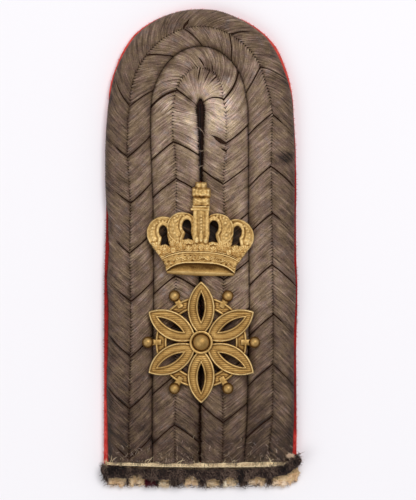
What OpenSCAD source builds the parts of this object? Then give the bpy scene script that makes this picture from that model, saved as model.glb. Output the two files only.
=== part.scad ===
// Uniform shoulder strap lying face up. The back of the felt lies on z = 0, +Y points to the
// rounded button end, +X to the right, and the origin is the centre of the base. Millimetres.

/* [Strap] */
// Full length, from the tufts at the sewn end to the top of the round end
strap_l = 121.8; // [110:0.2:130]
// Width of the felt at the sewn end
strap_w = 49.4; // [46:0.2:52]
// Height of the round end above the place where the sides start to bend
bend_rise = 26.3; // [23:0.1:27]
// Thickness of the felt
felt_t = 2; // [1.5:0.1:3]

/* [Braid] */
// Height of a braid's padded halves above the felt
braid_t = 2.6; // [2.2:0.1:3]
// Distance between two seams of the braid along its spine
seam_pitch = 12.6; // [10:0.2:16]
// Depth of a seam
seam_depth = 0.3; // [0.1:0.05:0.5]
// How far the seams slant along the braid between its spine and its edge
seam_slant = 4.6; // [3:0.1:5.4]

/* [Button slit] */
// Length of the cut through the felt
slit_l = 19; // [17:0.5:20]
// Width of the dark thread that binds the cut
binding_w = 1.8; // [1.6:0.1:2]

/* [Brass] */
// Thickness of the crown's lowest layer
crown_t = 1.6; // [1.2:0.1:2]
// Thickness of the ornament's flats
ornament_t = 1.5; // [1.2:0.1:2]
// Height of the bright rims above the flats
rim_h = 0.35; // [0.2:0.05:0.5]
// Diameter of the hidden pins
pin_d = 1.2; // [1:0.1:1.4]

/* [Hidden] */
$fn = 48;

// Clearance between two pieces that lie on or beside each other
gap = 0.05;
base_y = -strap_l / 2;
top_y = strap_l / 2;
bend_y = top_y - bend_rise;
// The felt and the braids stop short of the tufts at the sewn end
felt_end_y = base_y + 5.2;
braid_end_y = base_y + 6.6;
leg_l = bend_y - braid_end_y;
felt_top = felt_t;
braid_z = felt_top + gap;
crest_z = braid_z + braid_t;
brass_z = crest_z + gap;

// The sides and the bend of each curve that follows the strap's outline, as [half width at the
// sewn end, half width where the bend starts, how late the sides move in, rise, squareness].
// A squareness of 2 is an ellipse.
AT_END = 0;
AT_BEND = 1;
LATE = 2;
RISE = 3;
SQUARE = 4;
edge_x = strap_w / 2;
felt_curve = [edge_x, edge_x - 0.95, 4, bend_rise, 2.12];
outer_edge = [edge_x - 1, edge_x - 1, 1, bend_rise - 0.1, 2.12];
outer_spine = [edge_x - 6.6, edge_x - 6.3, 1, bend_rise - 4.4, 2];
groove = [edge_x - 12.8, edge_x - 12.2, 1, bend_rise - 9.4, 2];
inner_spine = [edge_x - 18.5, edge_x - 18.35, 1, bend_rise - 14.8, 2.3];
slit_edge = [0.15, 1.05, 6, 3.6, 2];

// Height of a braid above the felt, as [place between spine 0 and edge 1, share of braid_t]
BRAID_PROFILE = [[0, 0.72], [0.2, 0.93], [0.5, 1], [0.8, 0.82], [1, 0.36]];
PLACE = 0;
SHARE = 1;
// Half width of a seam's groove, and the stretch at each end in which the seams straighten
seam_half = 0.4;
straighten = 11;
bend_steps = 3;
// How far the underside of a braid is hollow along its middle
under_hollow = 0.1;

function lerp(a, b, f) = a + (b - a) * f;
function signed_pow(v, e) = sign(v) * pow(abs(v), e);

function leg_half(curve, f) = lerp(curve[AT_END], curve[AT_BEND], pow(f, curve[LATE]));

function bend_point(curve, angle) = [
    curve[AT_BEND] * signed_pow(cos(angle), 2 / curve[SQUARE]),
    bend_y + curve[RISE] * pow(abs(sin(angle)), 2 / curve[SQUARE])
];

// A point of a curve: p runs 0 to 1 up the left side, to 2 round the bend and to 3 down again
function curve_point(curve, p, end_y) =
    p <= 1 ? [-leg_half(curve, p), lerp(end_y, bend_y, p)] :
    p >= 2 ? [leg_half(curve, 3 - p), lerp(end_y, bend_y, 3 - p)] :
    bend_point(curve, 180 * (2 - p));

function half_ellipse(a, b) = PI / 2 * (3 * (a + b) - sqrt((3 * a + b) * (a + 3 * b)));
function bend_length(curve) = half_ellipse(curve[AT_BEND], curve[RISE]);

// Distance along a spine turned into the p of curve_point
function p_at(s, bend_l) =
    s <= leg_l ? s / leg_l :
    s <= leg_l + bend_l ? 1 + (s - leg_l) / bend_l :
    2 + (s - leg_l - bend_l) / leg_l;

// The seams are straight across at both ends and slant between them
function slant_share(s, total) = min(1, s / straighten, (total - s) / straighten);

// One point of a braid: across is -1 at its outer edge, 0 on its spine and 1 at its inner edge
function braid_xy(curves, s, across, slant, total) =
    let (bend_l = bend_length(curves[1]),
         p = p_at(s + slant * abs(across) * slant_share(s, total), bend_l),
         side = across < 0 ? curves[0] : curves[2])
    lerp(curve_point(curves[1], p, braid_end_y), curve_point(side, p, braid_end_y), abs(across));

// The closed section of a braid at distance s: bottom middle, bottom corner, top, bottom corner
function braid_ring(curves, s, slant, total, dip) =
    let (n = len(BRAID_PROFILE) - 1,
         tops = [for (i = [-n:n]) [sign(i) * BRAID_PROFILE[abs(i)][PLACE],
                                   BRAID_PROFILE[abs(i)][SHARE] * braid_t - dip]])
    concat(
        [concat(braid_xy(curves, s, 0, slant, total), braid_z + under_hollow)],
        [concat(braid_xy(curves, s, -1, slant, total), braid_z)],
        [for (t = tops) concat(braid_xy(curves, s, t[PLACE], slant, total), braid_z + t[SHARE])],
        [concat(braid_xy(curves, s, 1, slant, total), braid_z)]);

// The stations of a braid, as [distance, depth of the seam there]
function braid_stations(first, total, bend_l) =
    let (count = floor((total - first - seam_half) / seam_pitch))
    concat(
        [[0, 0]],
        [for (k = [0:count], j = [-1:1 + bend_steps])
            let (seam = first + k * seam_pitch,
                 in_bend = seam > leg_l - seam_pitch && seam < leg_l + bend_l,
                 s = j < 2 ? seam + j * seam_half : seam + (j - 1) * seam_pitch / (bend_steps + 1))
            if ((j < 2 || in_bend) && s < total - seam_half)
                [s, j == 0 ? seam_depth : 0]],
        [[total, 0]]);

// A solid through rings of equal length, closed by a face at each end
module ring_solid(rings) {
    n = len(rings[0]);
    last = len(rings) - 1;
    points = [for (ring = rings, point = ring) point];
    sides = [for (i = [0:last - 1], j = [0:n - 1], half = [0, 1])
        let (a = i * n + j, b = i * n + (j + 1) % n)
        half == 0 ? [a, b, b + n] : [a, b + n, a + n]];
    near = [for (j = [n - 1:-1:0]) j];
    far = [for (j = [0:n - 1]) last * n + j];
    polyhedron(points = points, faces = concat(sides, [near, far]));
}

// A flat braid laid in a U between two curves, with its spine along a third
module braid(curves, first, slant) {
    bend_l = bend_length(curves[1]);
    total = 2 * leg_l + bend_l;
    ring_solid([for (st = braid_stations(first, total, bend_l))
        braid_ring(curves, st[0], slant, total, st[1])]);
}

function shifted(curve, d) =
    [curve[AT_END] + d, curve[AT_BEND] + d, curve[LATE], curve[RISE] + d, curve[SQUARE]];

/* The places of the two pins under each brass piece, and the depth that they reach */
crown_at = [0.1, base_y + 53.8];
ornament_at = [0.3, base_y + 36.9];
crown_pins = [[-5, 4.6], [5, 4.6]];
ornament_pins = [[-10.2, 0], [10.2, 0]];
pin_end_z = 0.4;

module pins(places, d, from_z, to_z) {
    for (place = places)
        translate([place[0], place[1], from_z])
            cylinder(d = d, h = to_z - from_z);
}

module pin_holes(from_z) {
    translate(crown_at)
        pins(crown_pins, pin_d + 2 * gap, from_z, crest_z + 1);
    translate(ornament_at)
        pins(ornament_pins, pin_d + 2 * gap, from_z, crest_z + 1);
}

/* The felt and its bound button slit */
outline_steps = 10;
bend_outline_steps = 40;
slit_centre_y = bend_y - 7.2;
cut_w = 0.7;

module felt_outline() {
    legs = [for (i = [0:outline_steps - 1]) i / outline_steps];
    bend = [for (i = [0:bend_outline_steps]) 1 + i / bend_outline_steps];
    down = [for (i = [1:outline_steps]) 2 + i / outline_steps];
    polygon([for (p = concat(legs, bend, down)) curve_point(felt_curve, p, felt_end_y)]);
}

module slot(width, length) {
    square([width, length - width], center = true);
    for (end = [-1, 1])
        translate([0, end * (length - width) / 2])
            circle(d = width);
}

module felt_base() color("firebrick") {
    difference() {
        linear_extrude(felt_t)
            felt_outline();
        translate([0, slit_centre_y, -1])
            linear_extrude(felt_t + 2)
                slot(binding_w + 2 * gap, slit_l + binding_w + 2 * gap);
        pin_holes(pin_end_z - gap);
    }
}

module buttonhole_binding() color([0.13, 0.09, 0.07]) {
    translate([0, slit_centre_y, 0])
        linear_extrude(felt_t)
            difference() {
                slot(binding_w, slit_l + binding_w);
                slot(cut_w, slit_l + cut_w);
            }
}

/* The two braids */
outer_first_seam = 2;
inner_first_seam = 8.6;

module outer_braid() color([0.42, 0.35, 0.3]) {
    difference() {
        braid([outer_edge, outer_spine, shifted(groove, gap / 2)], outer_first_seam, seam_slant);
        pin_holes(0);
    }
}

module inner_braid() color([0.5, 0.43, 0.37]) {
    difference() {
        braid([shifted(groove, -gap / 2), inner_spine, slit_edge], inner_first_seam, -seam_slant);
        pin_holes(0);
    }
}

/* The sewn end: a cotton tape, undyed felt in tufts, and dark wool overcast over it */
tape_x = [-24.4, 21.6];
tape_w = 1.2;
tape_h = 2.3;
tape_bow = 0.7;
tape_steps = 8;

module end_tape() color([0.82, 0.74, 0.62]) {
    near = [for (i = [0:tape_steps]) let (f = i / tape_steps)
        [lerp(tape_x[0], tape_x[1], f), braid_end_y - gap - tape_bow * sin(180 * f)]];
    far = [for (i = [tape_steps:-1:0]) near[i] - [0, tape_w]];
    translate([0, 0, braid_z])
        linear_extrude(tape_h)
            polygon(concat(near, far));
}

// Each tuft as [place along the end, half width, how far it stands out]
TUFTS = [[-21, 2.6, 1], [-16, 2, 0.85], [-9.4, 1.7, 0.6], [-2.4, 2, 0.95], [3.2, 2, 1.1],
         [8, 2.4, 0.9], [14.8, 2.4, 0.85], [22, 3.2, 1]];
AT = 0;
HALF = 1;
OUT = 2;
tuft_out = 1.9;
natural_t = felt_t - gap;
natural_x = [-23.6, 25.3];
natural_steps = 60;

function bulge(x, row) =
    let (off = abs(x - row[AT]) / row[HALF])
    off < 1 ? row[OUT] * cos(90 * off) : 0;
function most(table, x) = max([for (row = table) bulge(x, row)]);

// The undyed felt's section at x, from its straight back edge to its rounded front
function natural_ring(x) =
    let (back = felt_end_y - gap,
         front = base_y + tuft_out * (1 - most(TUFTS, x) / 1.1),
         t = natural_t)
    [[x, back, 0], [x, back, t], [x, front + 0.9, t], [x, front + 0.25, t * 0.8],
     [x, front, t * 0.4], [x, front + 0.25, 0]];

module natural_felt() color([0.78, 0.66, 0.5]) {
    ring_solid([for (i = [0:natural_steps])
        natural_ring(lerp(natural_x[0], natural_x[1], i / natural_steps))]);
}

// The wool's line, as [x, y above the sewn end, half width, half height], and its locks
WOOL = [[-25.8, 4.5, 0.5, 0.5], [-24.6, 3.9, 1.3, 1.1], [-20, 3.3, 1.5, 1.4], [-10, 2.9, 1.6, 1.5],
        [0, 2.8, 1.5, 1.5], [10, 2.9, 1.6, 1.5], [18, 3.4, 1.5, 1.5], [22.4, 4, 1.35, 1.4],
        [24.3, 5.4, 1.1, 1.2], [25.3, 6.9, 0.95, 1], [25.9, 8, 0.5, 0.5]];
LOCKS = [[-12.4, 1.7, 1.2], [-5.9, 1.7, 0.9], [5.6, 0.9, 0.7], [11.4, 1.2, 0.8], [17.6, 1, 0.7]];
WIDE = 2;
HIGH = 3;
wool_steps = 6;
wool_sides = 10;
wool_z = felt_top + gap;

function wool_ring(a, b, f) =
    let (at = lerp(a, b, f),
         turn = atan2(b[1] - a[1], b[0] - a[0]) * 0.8,
         lock = most(LOCKS, at[0]))
    [for (j = [0:wool_sides - 1])
        let (angle = 360 * j / wool_sides,
             side = at[WIDE] * cos(angle) - lock * max(0, -cos(angle)))
        [at[0] - side * sin(turn),
         base_y + at[1] + side * cos(turn),
         wool_z + at[HIGH] * (1 + sin(angle))]];

module wool_overcast() color([0.2, 0.16, 0.15]) {
    rings = [for (i = [0:len(WOOL) - 2], j = [0:wool_steps - 1])
        wool_ring(WOOL[i], WOOL[i + 1], j / wool_steps)];
    last = len(WOOL) - 1;
    ring_solid(concat(rings, [wool_ring(WOOL[last - 1], WOOL[last], 1)]));
}

/* The crown: every place is measured from the middle of its lower edge */
outer_arch = [9.2, 10.3];
outer_arch_r = 4.35;
inner_arch = [4.5, 12];
inner_arch_r = 4.1;
arch_band = 1.9;
shaft_x = 0.3;
bead_r = 0.5;
bead_pitch = 1.25;
step_h = 0.65;
// Half width of the crown's base at each height
BASE_SIDE = [[12, 9.2], [11.7, 6.6], [11.1, 5.4], [8.8, 0.5], [8.4, 0]];
// The smooth hollow under the circlet, as half width and height
hollow = [8.3, 3.2];

module dome(r) {
    rotate_extrude()
        intersection() {
            circle(r = r);
            square(r);
        }
}

module both_sides() {
    children();
    mirror([1, 0, 0])
        children();
}

module crown_base_outline() {
    left = [for (i = [len(BASE_SIDE) - 1:-1:0]) [-BASE_SIDE[i][0], BASE_SIDE[i][1]]];
    polygon(concat(BASE_SIDE, left));
}

module arch_holes() {
    both_sides() {
        translate([3.3, 12.6])
            circle(r = 1.35);
        polygon([[2.8, 11.8], [3.8, 11.8], [3.55, 10.6], [4.5, 9.3], [2.1, 9.3], [3, 10.6]]);
        translate([9, 11.5])
            circle(r = 1.3);
        polygon([[8.4, 10.8], [9.7, 10.8], [8.9, 9.2], [9.8, 7.9], [7.5, 8.3], [8.1, 9.3]]);
    }
}

module crown_silhouette() {
    difference() {
        union() {
            crown_base_outline();
            both_sides() {
                translate(outer_arch)
                    circle(r = outer_arch_r);
                translate(inner_arch)
                    circle(r = inner_arch_r);
            }
            translate([shaft_x - 1.85, 9])
                square([3.7, 8.2]);
        }
        arch_holes();
    }
}

module arch_ring(centre, r) {
    difference() {
        translate(centre)
            circle(r = r);
        translate(centre)
            circle(r = r - arch_band);
        translate([0, centre[1] - r - 1])
            square([centre[0], r + 1]);
        arch_holes();
    }
}

module beads_on_arch(centre, r, from, to, z) {
    line_r = r - arch_band / 2;
    step = bead_pitch / line_r * 180 / PI;
    for (angle = [from:step:to])
        translate([centre[0] + line_r * cos(angle), centre[1] + line_r * sin(angle), z])
            sphere(r = bead_r);
}

// A band that follows the circlet's curve, between two heights at its middle
module circlet_band(low, high) {
    sag_r = 42;
    intersection() {
        crown_base_outline();
        difference() {
            translate([0, high - sag_r])
                circle(r = sag_r, $fn = 180);
            translate([0, low - sag_r])
                circle(r = sag_r, $fn = 180);
        }
    }
}

module crown_hollow() {
    intersection() {
        translate([0, hollow[1] - 14.2])
            circle(r = 14.2, $fn = 120);
        translate([-hollow[0], 1.1])
            square([2 * hollow[0], hollow[1]]);
    }
}

module crown_relief() {
    linear_extrude(crown_t + step_h)
        both_sides()
            arch_ring(outer_arch, outer_arch_r);
    linear_extrude(crown_t + 2 * step_h)
        both_sides()
            arch_ring(inner_arch, inner_arch_r);
    linear_extrude(crown_t + 3 * step_h)
        translate([shaft_x - 1.5, 8.6])
            square([3, 8.6]);
    linear_extrude(crown_t + 2 * step_h)
        difference() {
            circlet_band(0, 6.3);
            crown_hollow();
        }
    linear_extrude(crown_t + 3 * step_h) {
        circlet_band(5.7, 6.3);
        circlet_band(3.2, 3.8);
    }
    linear_extrude(crown_t + 2.4 * step_h)
        translate([-8.5, 0])
            square([17, 1.1]);
}

module crown_beads() {
    both_sides() {
        beads_on_arch(outer_arch, outer_arch_r, -60, 150, crown_t + step_h);
        beads_on_arch(inner_arch, inner_arch_r, -10, 130, crown_t + 2 * step_h);
    }
    for (y = [11.3:bead_pitch:16])
        translate([shaft_x, y, crown_t + 3 * step_h])
            sphere(r = bead_r);
    // The row of leaves above the circlet
    for (i = [-4:4])
        translate([i * 2.3, 7.9 - 0.035 * i * i, crown_t + step_h])
            sphere(r = 1.15);
}

module crown_top() {
    translate([shaft_x - 2.4, 16.7, 0])
        cube([4.8, 0.8, crown_t + 3 * step_h]);
    translate([shaft_x, 18.6, 1.7])
        sphere(r = 1.95);
    for (x = [-1.15, 1.15], y = [21, 22.8])
        translate([shaft_x + x, y, 1.5])
            sphere(r = 1.3);
    translate([shaft_x - 1.2, 19.5, 0.4])
        cube([2.4, 3.4, 1.6]);
}

module crown() color("goldenrod") {
    translate([crown_at[0], crown_at[1], brass_z]) {
        linear_extrude(crown_t)
            crown_silhouette();
        crown_relief();
        crown_beads();
        intersection() {
            crown_top();
            translate([-5, 15, 0])
                cube([10, 10, 6]);
        }
        pins(crown_pins, pin_d, pin_end_z - brass_z, gap);
    }
}

/* The ornament: a rosette of pierced leaves over a ring, with balls between them and a boss */
leaves = 6;
leaf_turn = 360 / leaves;
leaf_tip = 15.5;
leaf_root = 1.6;
leaf_half_w = 3.45;
// The slot through each leaf, as [inner end, outer end, half width]
leaf_slot = [5.4, 12.6, 0.85];
ring_r = 10.2;
ring_w = 2.9;
ring_drop = 0.4;
rim_w = 0.5;
ball_r = 1.45;
ball_at = 13.6;
boss_r = 3;

// A pointed leaf between two tips on the +X axis, made of two arcs
module leaf(from, to, half_w) {
    span = (to - from) / 2;
    r = (span * span + half_w * half_w) / (2 * half_w);
    intersection() {
        translate([from + span, half_w - r])
            circle(r = r, $fn = 120);
        translate([from + span, r - half_w])
            circle(r = r, $fn = 120);
    }
}

module leaf_ring(from, to, half_w) {
    for (i = [0:leaves - 1])
        rotate(90 + i * leaf_turn)
            leaf(from, to, half_w);
}

module leaf_slots(grow) {
    leaf_ring(leaf_slot[0] - grow, leaf_slot[1] + grow, leaf_slot[2] + grow);
}

module flat_ring(r, w) {
    difference() {
        circle(r = r + w / 2, $fn = 120);
        circle(r = r - w / 2, $fn = 120);
    }
}

module ornament_ring() {
    linear_extrude(ornament_t - ring_drop)
        flat_ring(ring_r, ring_w);
    linear_extrude(ornament_t - ring_drop + rim_h) {
        flat_ring(ring_r + (ring_w - rim_w) / 2, rim_w);
        flat_ring(ring_r - (ring_w - rim_w) / 2, rim_w);
    }
}

module ornament_leaves() {
    linear_extrude(ornament_t)
        leaf_ring(leaf_root, leaf_tip, leaf_half_w);
    linear_extrude(ornament_t + rim_h) {
        difference() {
            leaf_ring(leaf_root, leaf_tip, leaf_half_w);
            leaf_ring(leaf_root + 1, leaf_tip - 1.3, leaf_half_w - rim_w);
        }
        leaf_slots(rim_w);
    }
}

module ornament_balls() {
    for (i = [0:leaves - 1])
        rotate(i * leaf_turn) {
            translate([ball_at, 0, 0])
                cylinder(r = ball_r, h = ornament_t - ring_drop);
            translate([ball_at, 0, ornament_t - ring_drop])
                dome(ball_r - 0.3);
            translate([ring_r, -0.8, 0])
                cube([ball_at - ring_r, 1.6, ornament_t - ring_drop]);
        }
}

module ornament() color("darkgoldenrod") {
    translate([ornament_at[0], ornament_at[1], brass_z]) {
        difference() {
            union() {
                ornament_ring();
                ornament_leaves();
            }
            translate([0, 0, -1])
                linear_extrude(ornament_t + 3)
                    leaf_slots(0);
        }
        ornament_balls();
        cylinder(r = boss_r, h = ornament_t + rim_h);
        translate([0, 0, ornament_t - 0.6])
            dome(boss_r - 0.7);
        pins(ornament_pins, pin_d, pin_end_z - brass_z, gap);
    }
}

felt_base();
outer_braid();
inner_braid();
buttonhole_binding();
end_tape();
natural_felt();
wool_overcast();
crown();
ornament();
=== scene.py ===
"""The looks of a uniform shoulder strap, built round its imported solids.

Shapes are worked out in millimetres and turned into metres where a mesh is made. The strap lies
face up, +Y points to the round button end and the back of its felt lies on z = 0.
"""

import math
from collections import namedtuple

import bpy
import numpy as np
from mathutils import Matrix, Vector


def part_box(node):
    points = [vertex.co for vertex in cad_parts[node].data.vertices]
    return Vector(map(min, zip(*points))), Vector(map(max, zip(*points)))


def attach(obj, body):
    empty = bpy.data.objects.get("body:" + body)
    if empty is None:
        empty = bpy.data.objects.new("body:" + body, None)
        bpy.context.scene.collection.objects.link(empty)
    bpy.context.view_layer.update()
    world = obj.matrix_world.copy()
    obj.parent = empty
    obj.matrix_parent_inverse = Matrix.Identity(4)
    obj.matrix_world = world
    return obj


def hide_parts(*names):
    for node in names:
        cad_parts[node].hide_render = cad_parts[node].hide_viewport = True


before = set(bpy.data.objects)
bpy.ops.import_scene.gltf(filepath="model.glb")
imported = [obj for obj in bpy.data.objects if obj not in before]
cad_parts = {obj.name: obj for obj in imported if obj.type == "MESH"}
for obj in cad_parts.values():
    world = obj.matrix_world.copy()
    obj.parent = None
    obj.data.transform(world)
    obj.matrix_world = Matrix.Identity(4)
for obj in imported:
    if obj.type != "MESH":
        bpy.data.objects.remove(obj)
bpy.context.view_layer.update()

MM = 0.001
BODY = "root"
rng = np.random.default_rng(1871)


def node_box(node):
    """Lowest and highest corner of a CAD node, in millimetres."""
    low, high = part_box(node)
    return np.array(low) / MM, np.array(high) / MM


# Sizes taken from the imported CAD parts
felt_low, felt_high = node_box("felt_base")
braid_low, braid_high = node_box("outer_braid")
tape_low, tape_high = node_box("end_tape")
tuft_low, tuft_high = node_box("natural_felt")
binding_low, binding_high = node_box("buttonhole_binding")
edge_x, top_y, felt_top = felt_high
felt_end_y = felt_low[1]
braid_end_y, braid_z = braid_low[1:]
braid_t = braid_high[2] - braid_z
base_y = tuft_low[1]
gap = braid_z - felt_top
brass_z = braid_high[2] + gap
bend_rise = 26.3
bend_y = top_y - bend_rise
leg_l = bend_y - braid_end_y

# How far the felt and the laid braid stray from even curves, as in the photo: rows of p, which
# curve_xy explains, and millimetres outwards
EDGE_SWAY = [(0, -0.3), (0.2, 0.12), (0.26, 0.08), (0.3, -0.15), (0.43, -0.33), (0.52, 0.05), (0.61, -0.5),
             (0.66, -0.28), (0.7, -0.3), (0.75, 0.3), (0.8, 0.5), (0.89, 0.5), (0.95, 0.3), (1.06, -0.55),
             (1.2, -0.4), (1.26, 0), (1.55, 0.2), (1.62, -0.15), (1.7, -0.2), (1.74, 0), (1.87, -0.5),
             (2.06, 0.4), (2.11, 0.5), (2.43, 0.35), (2.48, 0.7), (2.54, 0.75), (2.62, 0.3), (2.88, 0.3),
             (2.97, 0), (3, -0.4)]
FELT_SWAY = [(0, -0.18), (0.53, -0.18), (0.65, -0.5), (0.75, -0.45), (0.8, -0.15), (0.95, -0.05),
             (1.03, -0.35), (1.06, -0.12), (1.14, -0.2), (1.26, 0.38), (1.4, 0), (1.5, 0.1), (1.56, -0.2),
             (1.62, -0.17), (1.79, 0.45), (1.86, 0.08), (1.94, 0.05), (2.11, 0.36), (2.23, 0.28),
             (2.29, 0.05), (2.41, 0), (2.48, 0.22), (2.54, 0.22), (2.68, -0.12), (2.95, 0), (3, -0.15)]
SPINE_SWAY = [(0, 0), (0.15, -0.05), (0.29, -0.48), (0.4, -0.62), (0.6, -0.35), (0.74, -0.6), (0.89, 0.2),
              (0.98, 0), (1.03, -0.45), (1.15, 0), (1.8, 0), (1.885, -0.6), (2, 0), (2.15, -0.22),
              (2.63, 0.45), (2.88, 0.3), (2.96, -0.5), (3, -0.6)]
GROOVE_SWAY = [(0, 0.28), (0.17, 0.23), (0.52, -0.4), (0.74, -0.33), (0.92, 0.2), (1.15, 0), (1.8, 0),
               (1.92, -0.4), (2.17, 0), (2.3, 0), (2.55, 0.45), (2.89, 0), (2.96, -0.5), (3, -0.6)]
INNER_SWAY = [(0, 0.2), (0.1, 0.36), (0.15, 0.2), (0.81, -0.2), (0.89, 0.1), (0.93, 0.75), (1.05, 0.65),
              (1.3, 0), (1.85, 0), (1.93, -0.18), (2.04, 0.48), (2.09, 0.33), (2.21, -0.38), (2.27, -0.08),
              (3, -0.36)]
SLIT_SWAY = [(0, 0), (0.6, -0.12), (0.72, -0.42), (0.88, -0.5), (1, -0.3), (2.15, 0.15), (3, 0)]
EVEN = [(0, 0)]

# The curves that follow the strap's outline, as in the part's source: half the width at the sewn end
# and at the bend, how late it changes between them, the bend's rise, its power and the curve's sway
Curve = namedtuple("Curve", "end bend late rise square sway")
felt_curve = Curve(edge_x, edge_x - 0.95, 4, bend_rise, 2.12, FELT_SWAY)
outer_edge = Curve(edge_x - 1, edge_x - 1, 1, bend_rise - 0.1, 2.12, EDGE_SWAY)
outer_spine = Curve(edge_x - 6.6, edge_x - 6.3, 1, bend_rise - 4.4, 2, SPINE_SWAY)
groove = Curve(edge_x - 12.8, edge_x - 12.2, 1, bend_rise - 9.4, 2, GROOVE_SWAY)
inner_spine = Curve(edge_x - 18.5, edge_x - 18.35, 1, bend_rise - 14.8, 2.3, INNER_SWAY)
slit_edge = Curve(0.15, 1.12, 6, 3.6, 2, SLIT_SWAY)
slit_flange = Curve(0.01, 0.93, 6, 3.4, 2, EVEN)

# Half the tape's width at each x
TAPE_HALF = [(-23.6, 0.2), (-21, 0.29), (-12, 0.35), (0, 0.43), (9, 0.5), (17, 0.54), (21.5, 0.32),
             (23, 0.14)]


def smooth(low, high, value):
    """0 below low, 1 above high, and a smooth step between."""
    t = np.clip((value - low) / (high - low), 0, 1)
    return t * t * (3 - 2 * t)


def curve_xy(curve, p):
    """Points of a curve: p runs 0 to 1 up the left side, to 2 round the bend and to 3 down again."""
    p = np.asarray(p, float)
    up = np.where(p < 1.5, p, 3 - p)
    side = np.where(p < 1.5, -1.0, 1.0)
    share = np.clip(up, 0, 1) ** curve.late
    angle = np.pi * (2 - np.clip(p, 1, 2))
    power = 2 / curve.square
    in_bend = (p > 1) & (p < 2)
    bend_x = curve.bend * np.sign(np.cos(angle)) * np.abs(np.cos(angle)) ** power
    bend_up = curve.rise * np.abs(np.sin(angle)) ** power
    x = np.where(in_bend, bend_x, side * (curve.end + (curve.bend - curve.end) * share))
    y = np.where(in_bend, bend_y + bend_up, braid_end_y + up * leg_l)
    out_x = np.where(in_bend, bend_x / curve.bend**2, side)
    out_y = np.where(in_bend, bend_up / curve.rise**2, 0)
    away = np.interp(p, *np.transpose(curve.sway)) / np.maximum(np.hypot(out_x, out_y), 1e-6)
    return x + away * out_x, y + away * out_y


def across_xy(spine, edge, p, share):
    """Points that lie at a share of the way from a spine to an edge."""
    spine_x, spine_y = curve_xy(spine, p)
    edge_px, edge_py = curve_xy(edge, p)
    return spine_x + (edge_px - spine_x) * share, spine_y + (edge_py - spine_y) * share


def bend_length(curve):
    """Half the length round an ellipse."""
    a, b = curve.bend, curve.rise
    return math.pi / 2 * (3 * (a + b) - math.sqrt((3 * a + b) * (a + 3 * b)))


def spine_length(spine):
    """The length of a spine from one sewn end to the other."""
    return 2 * leg_l + bend_length(spine)


def p_at(s, spine):
    """Distance along a spine turned into the p of curve_xy."""
    bend_l = bend_length(spine)
    past = s - leg_l
    later = np.where(past <= bend_l, 1 + past / bend_l, 2 + (past - bend_l) / leg_l)
    return np.where(past <= 0, s / leg_l, later)


def tape_y(x):
    """Middle of the tape, which bows towards the lower edge."""
    bow = 0.5
    return braid_end_y - gap - 0.6 - bow * np.cos(np.pi * np.clip(x / (2 * edge_x), -0.5, 0.5))


def tape_half(x):
    """Half the tape's width, least at its ends."""
    return np.interp(x, *np.transpose(TAPE_HALF))


def xyz(x, y, z):
    """Points or directions from their coordinates, each an array or one number for them all."""
    return np.stack(np.broadcast_arrays(x, y, z), -1)


def unit(v):
    """Directions with a length of 1."""
    return v / np.maximum(np.linalg.norm(v, axis=-1, keepdims=True), 1e-9)


class Heap:
    """Collects the points, faces and point values of one piece."""

    def __init__(self, *values):
        self.points, self.quads, self.triangles = [], [], []
        self.values = {name: [] for name in values}
        self.count = 0

    def add(self, points, quads, triangles=None, **values):
        """Adds a closed body, with a value for each point or one for them all."""
        points = points.reshape(-1, 3)
        self.points.append(points)
        self.quads.append(quads + self.count)
        if triangles is not None:
            self.triangles.append(triangles + self.count)
        for name, rows in self.values.items():
            rows.append(np.broadcast_to(values.get(name, 0.0), len(points)))
        self.count += len(points)

    def build(self, name, material, replaced, sharp=None):
        """Makes the object, which rides on the strap's one body and stands in for a node."""
        mesh = bpy.data.meshes.new(name)
        groups = [np.concatenate(g) for g in (self.quads, self.triangles) if g]
        corners = np.concatenate([g.ravel() for g in groups])
        sizes = np.concatenate([np.full(len(g), g.shape[1]) for g in groups])
        points = np.concatenate(self.points) * MM
        mesh.vertices.add(len(points))
        mesh.vertices.foreach_set("co", points.astype(np.float32).ravel())
        mesh.loops.add(len(corners))
        mesh.loops.foreach_set("vertex_index", corners.astype(np.int32))
        mesh.polygons.add(len(sizes))
        mesh.polygons.foreach_set("loop_start", (np.cumsum(sizes) - sizes).astype(np.int32))
        mesh.update(calc_edges=True)
        mesh.polygons.foreach_set("use_smooth", np.ones(len(sizes), bool))
        for value, rows in self.values.items():
            layer = mesh.attributes.new(value, "FLOAT", "POINT")
            layer.data.foreach_set("value", np.concatenate(rows).astype(np.float32))
        if sharp:
            mesh.set_sharp_from_angle(angle=math.radians(sharp))
        mesh.materials.append(material)
        piece = bpy.data.objects.new(name, mesh)
        bpy.context.scene.collection.objects.link(piece)
        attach(piece, BODY)
        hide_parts(replaced)
        return piece


def add_rings(heap, rings, **values):
    """Adds closed bodies from rings of points, an array of bodies, rings, sides and 3."""
    count, steps, sides, _ = rings.shape
    index = np.arange(count * steps * sides).reshape(count, steps, sides)
    turned = np.roll(index, -1, axis=2)
    quads = np.stack([index[:, :-1], index[:, 1:], turned[:, 1:], turned[:, :-1]], -1)
    near = [index[:, 0, [0, j, j + 1]] for j in range(1, sides - 1)]
    far = [index[:, -1, [0, j + 1, j]] for j in range(1, sides - 1)]
    heap.add(rings, quads.reshape(-1, 4), np.concatenate(near + far), **values)


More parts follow.
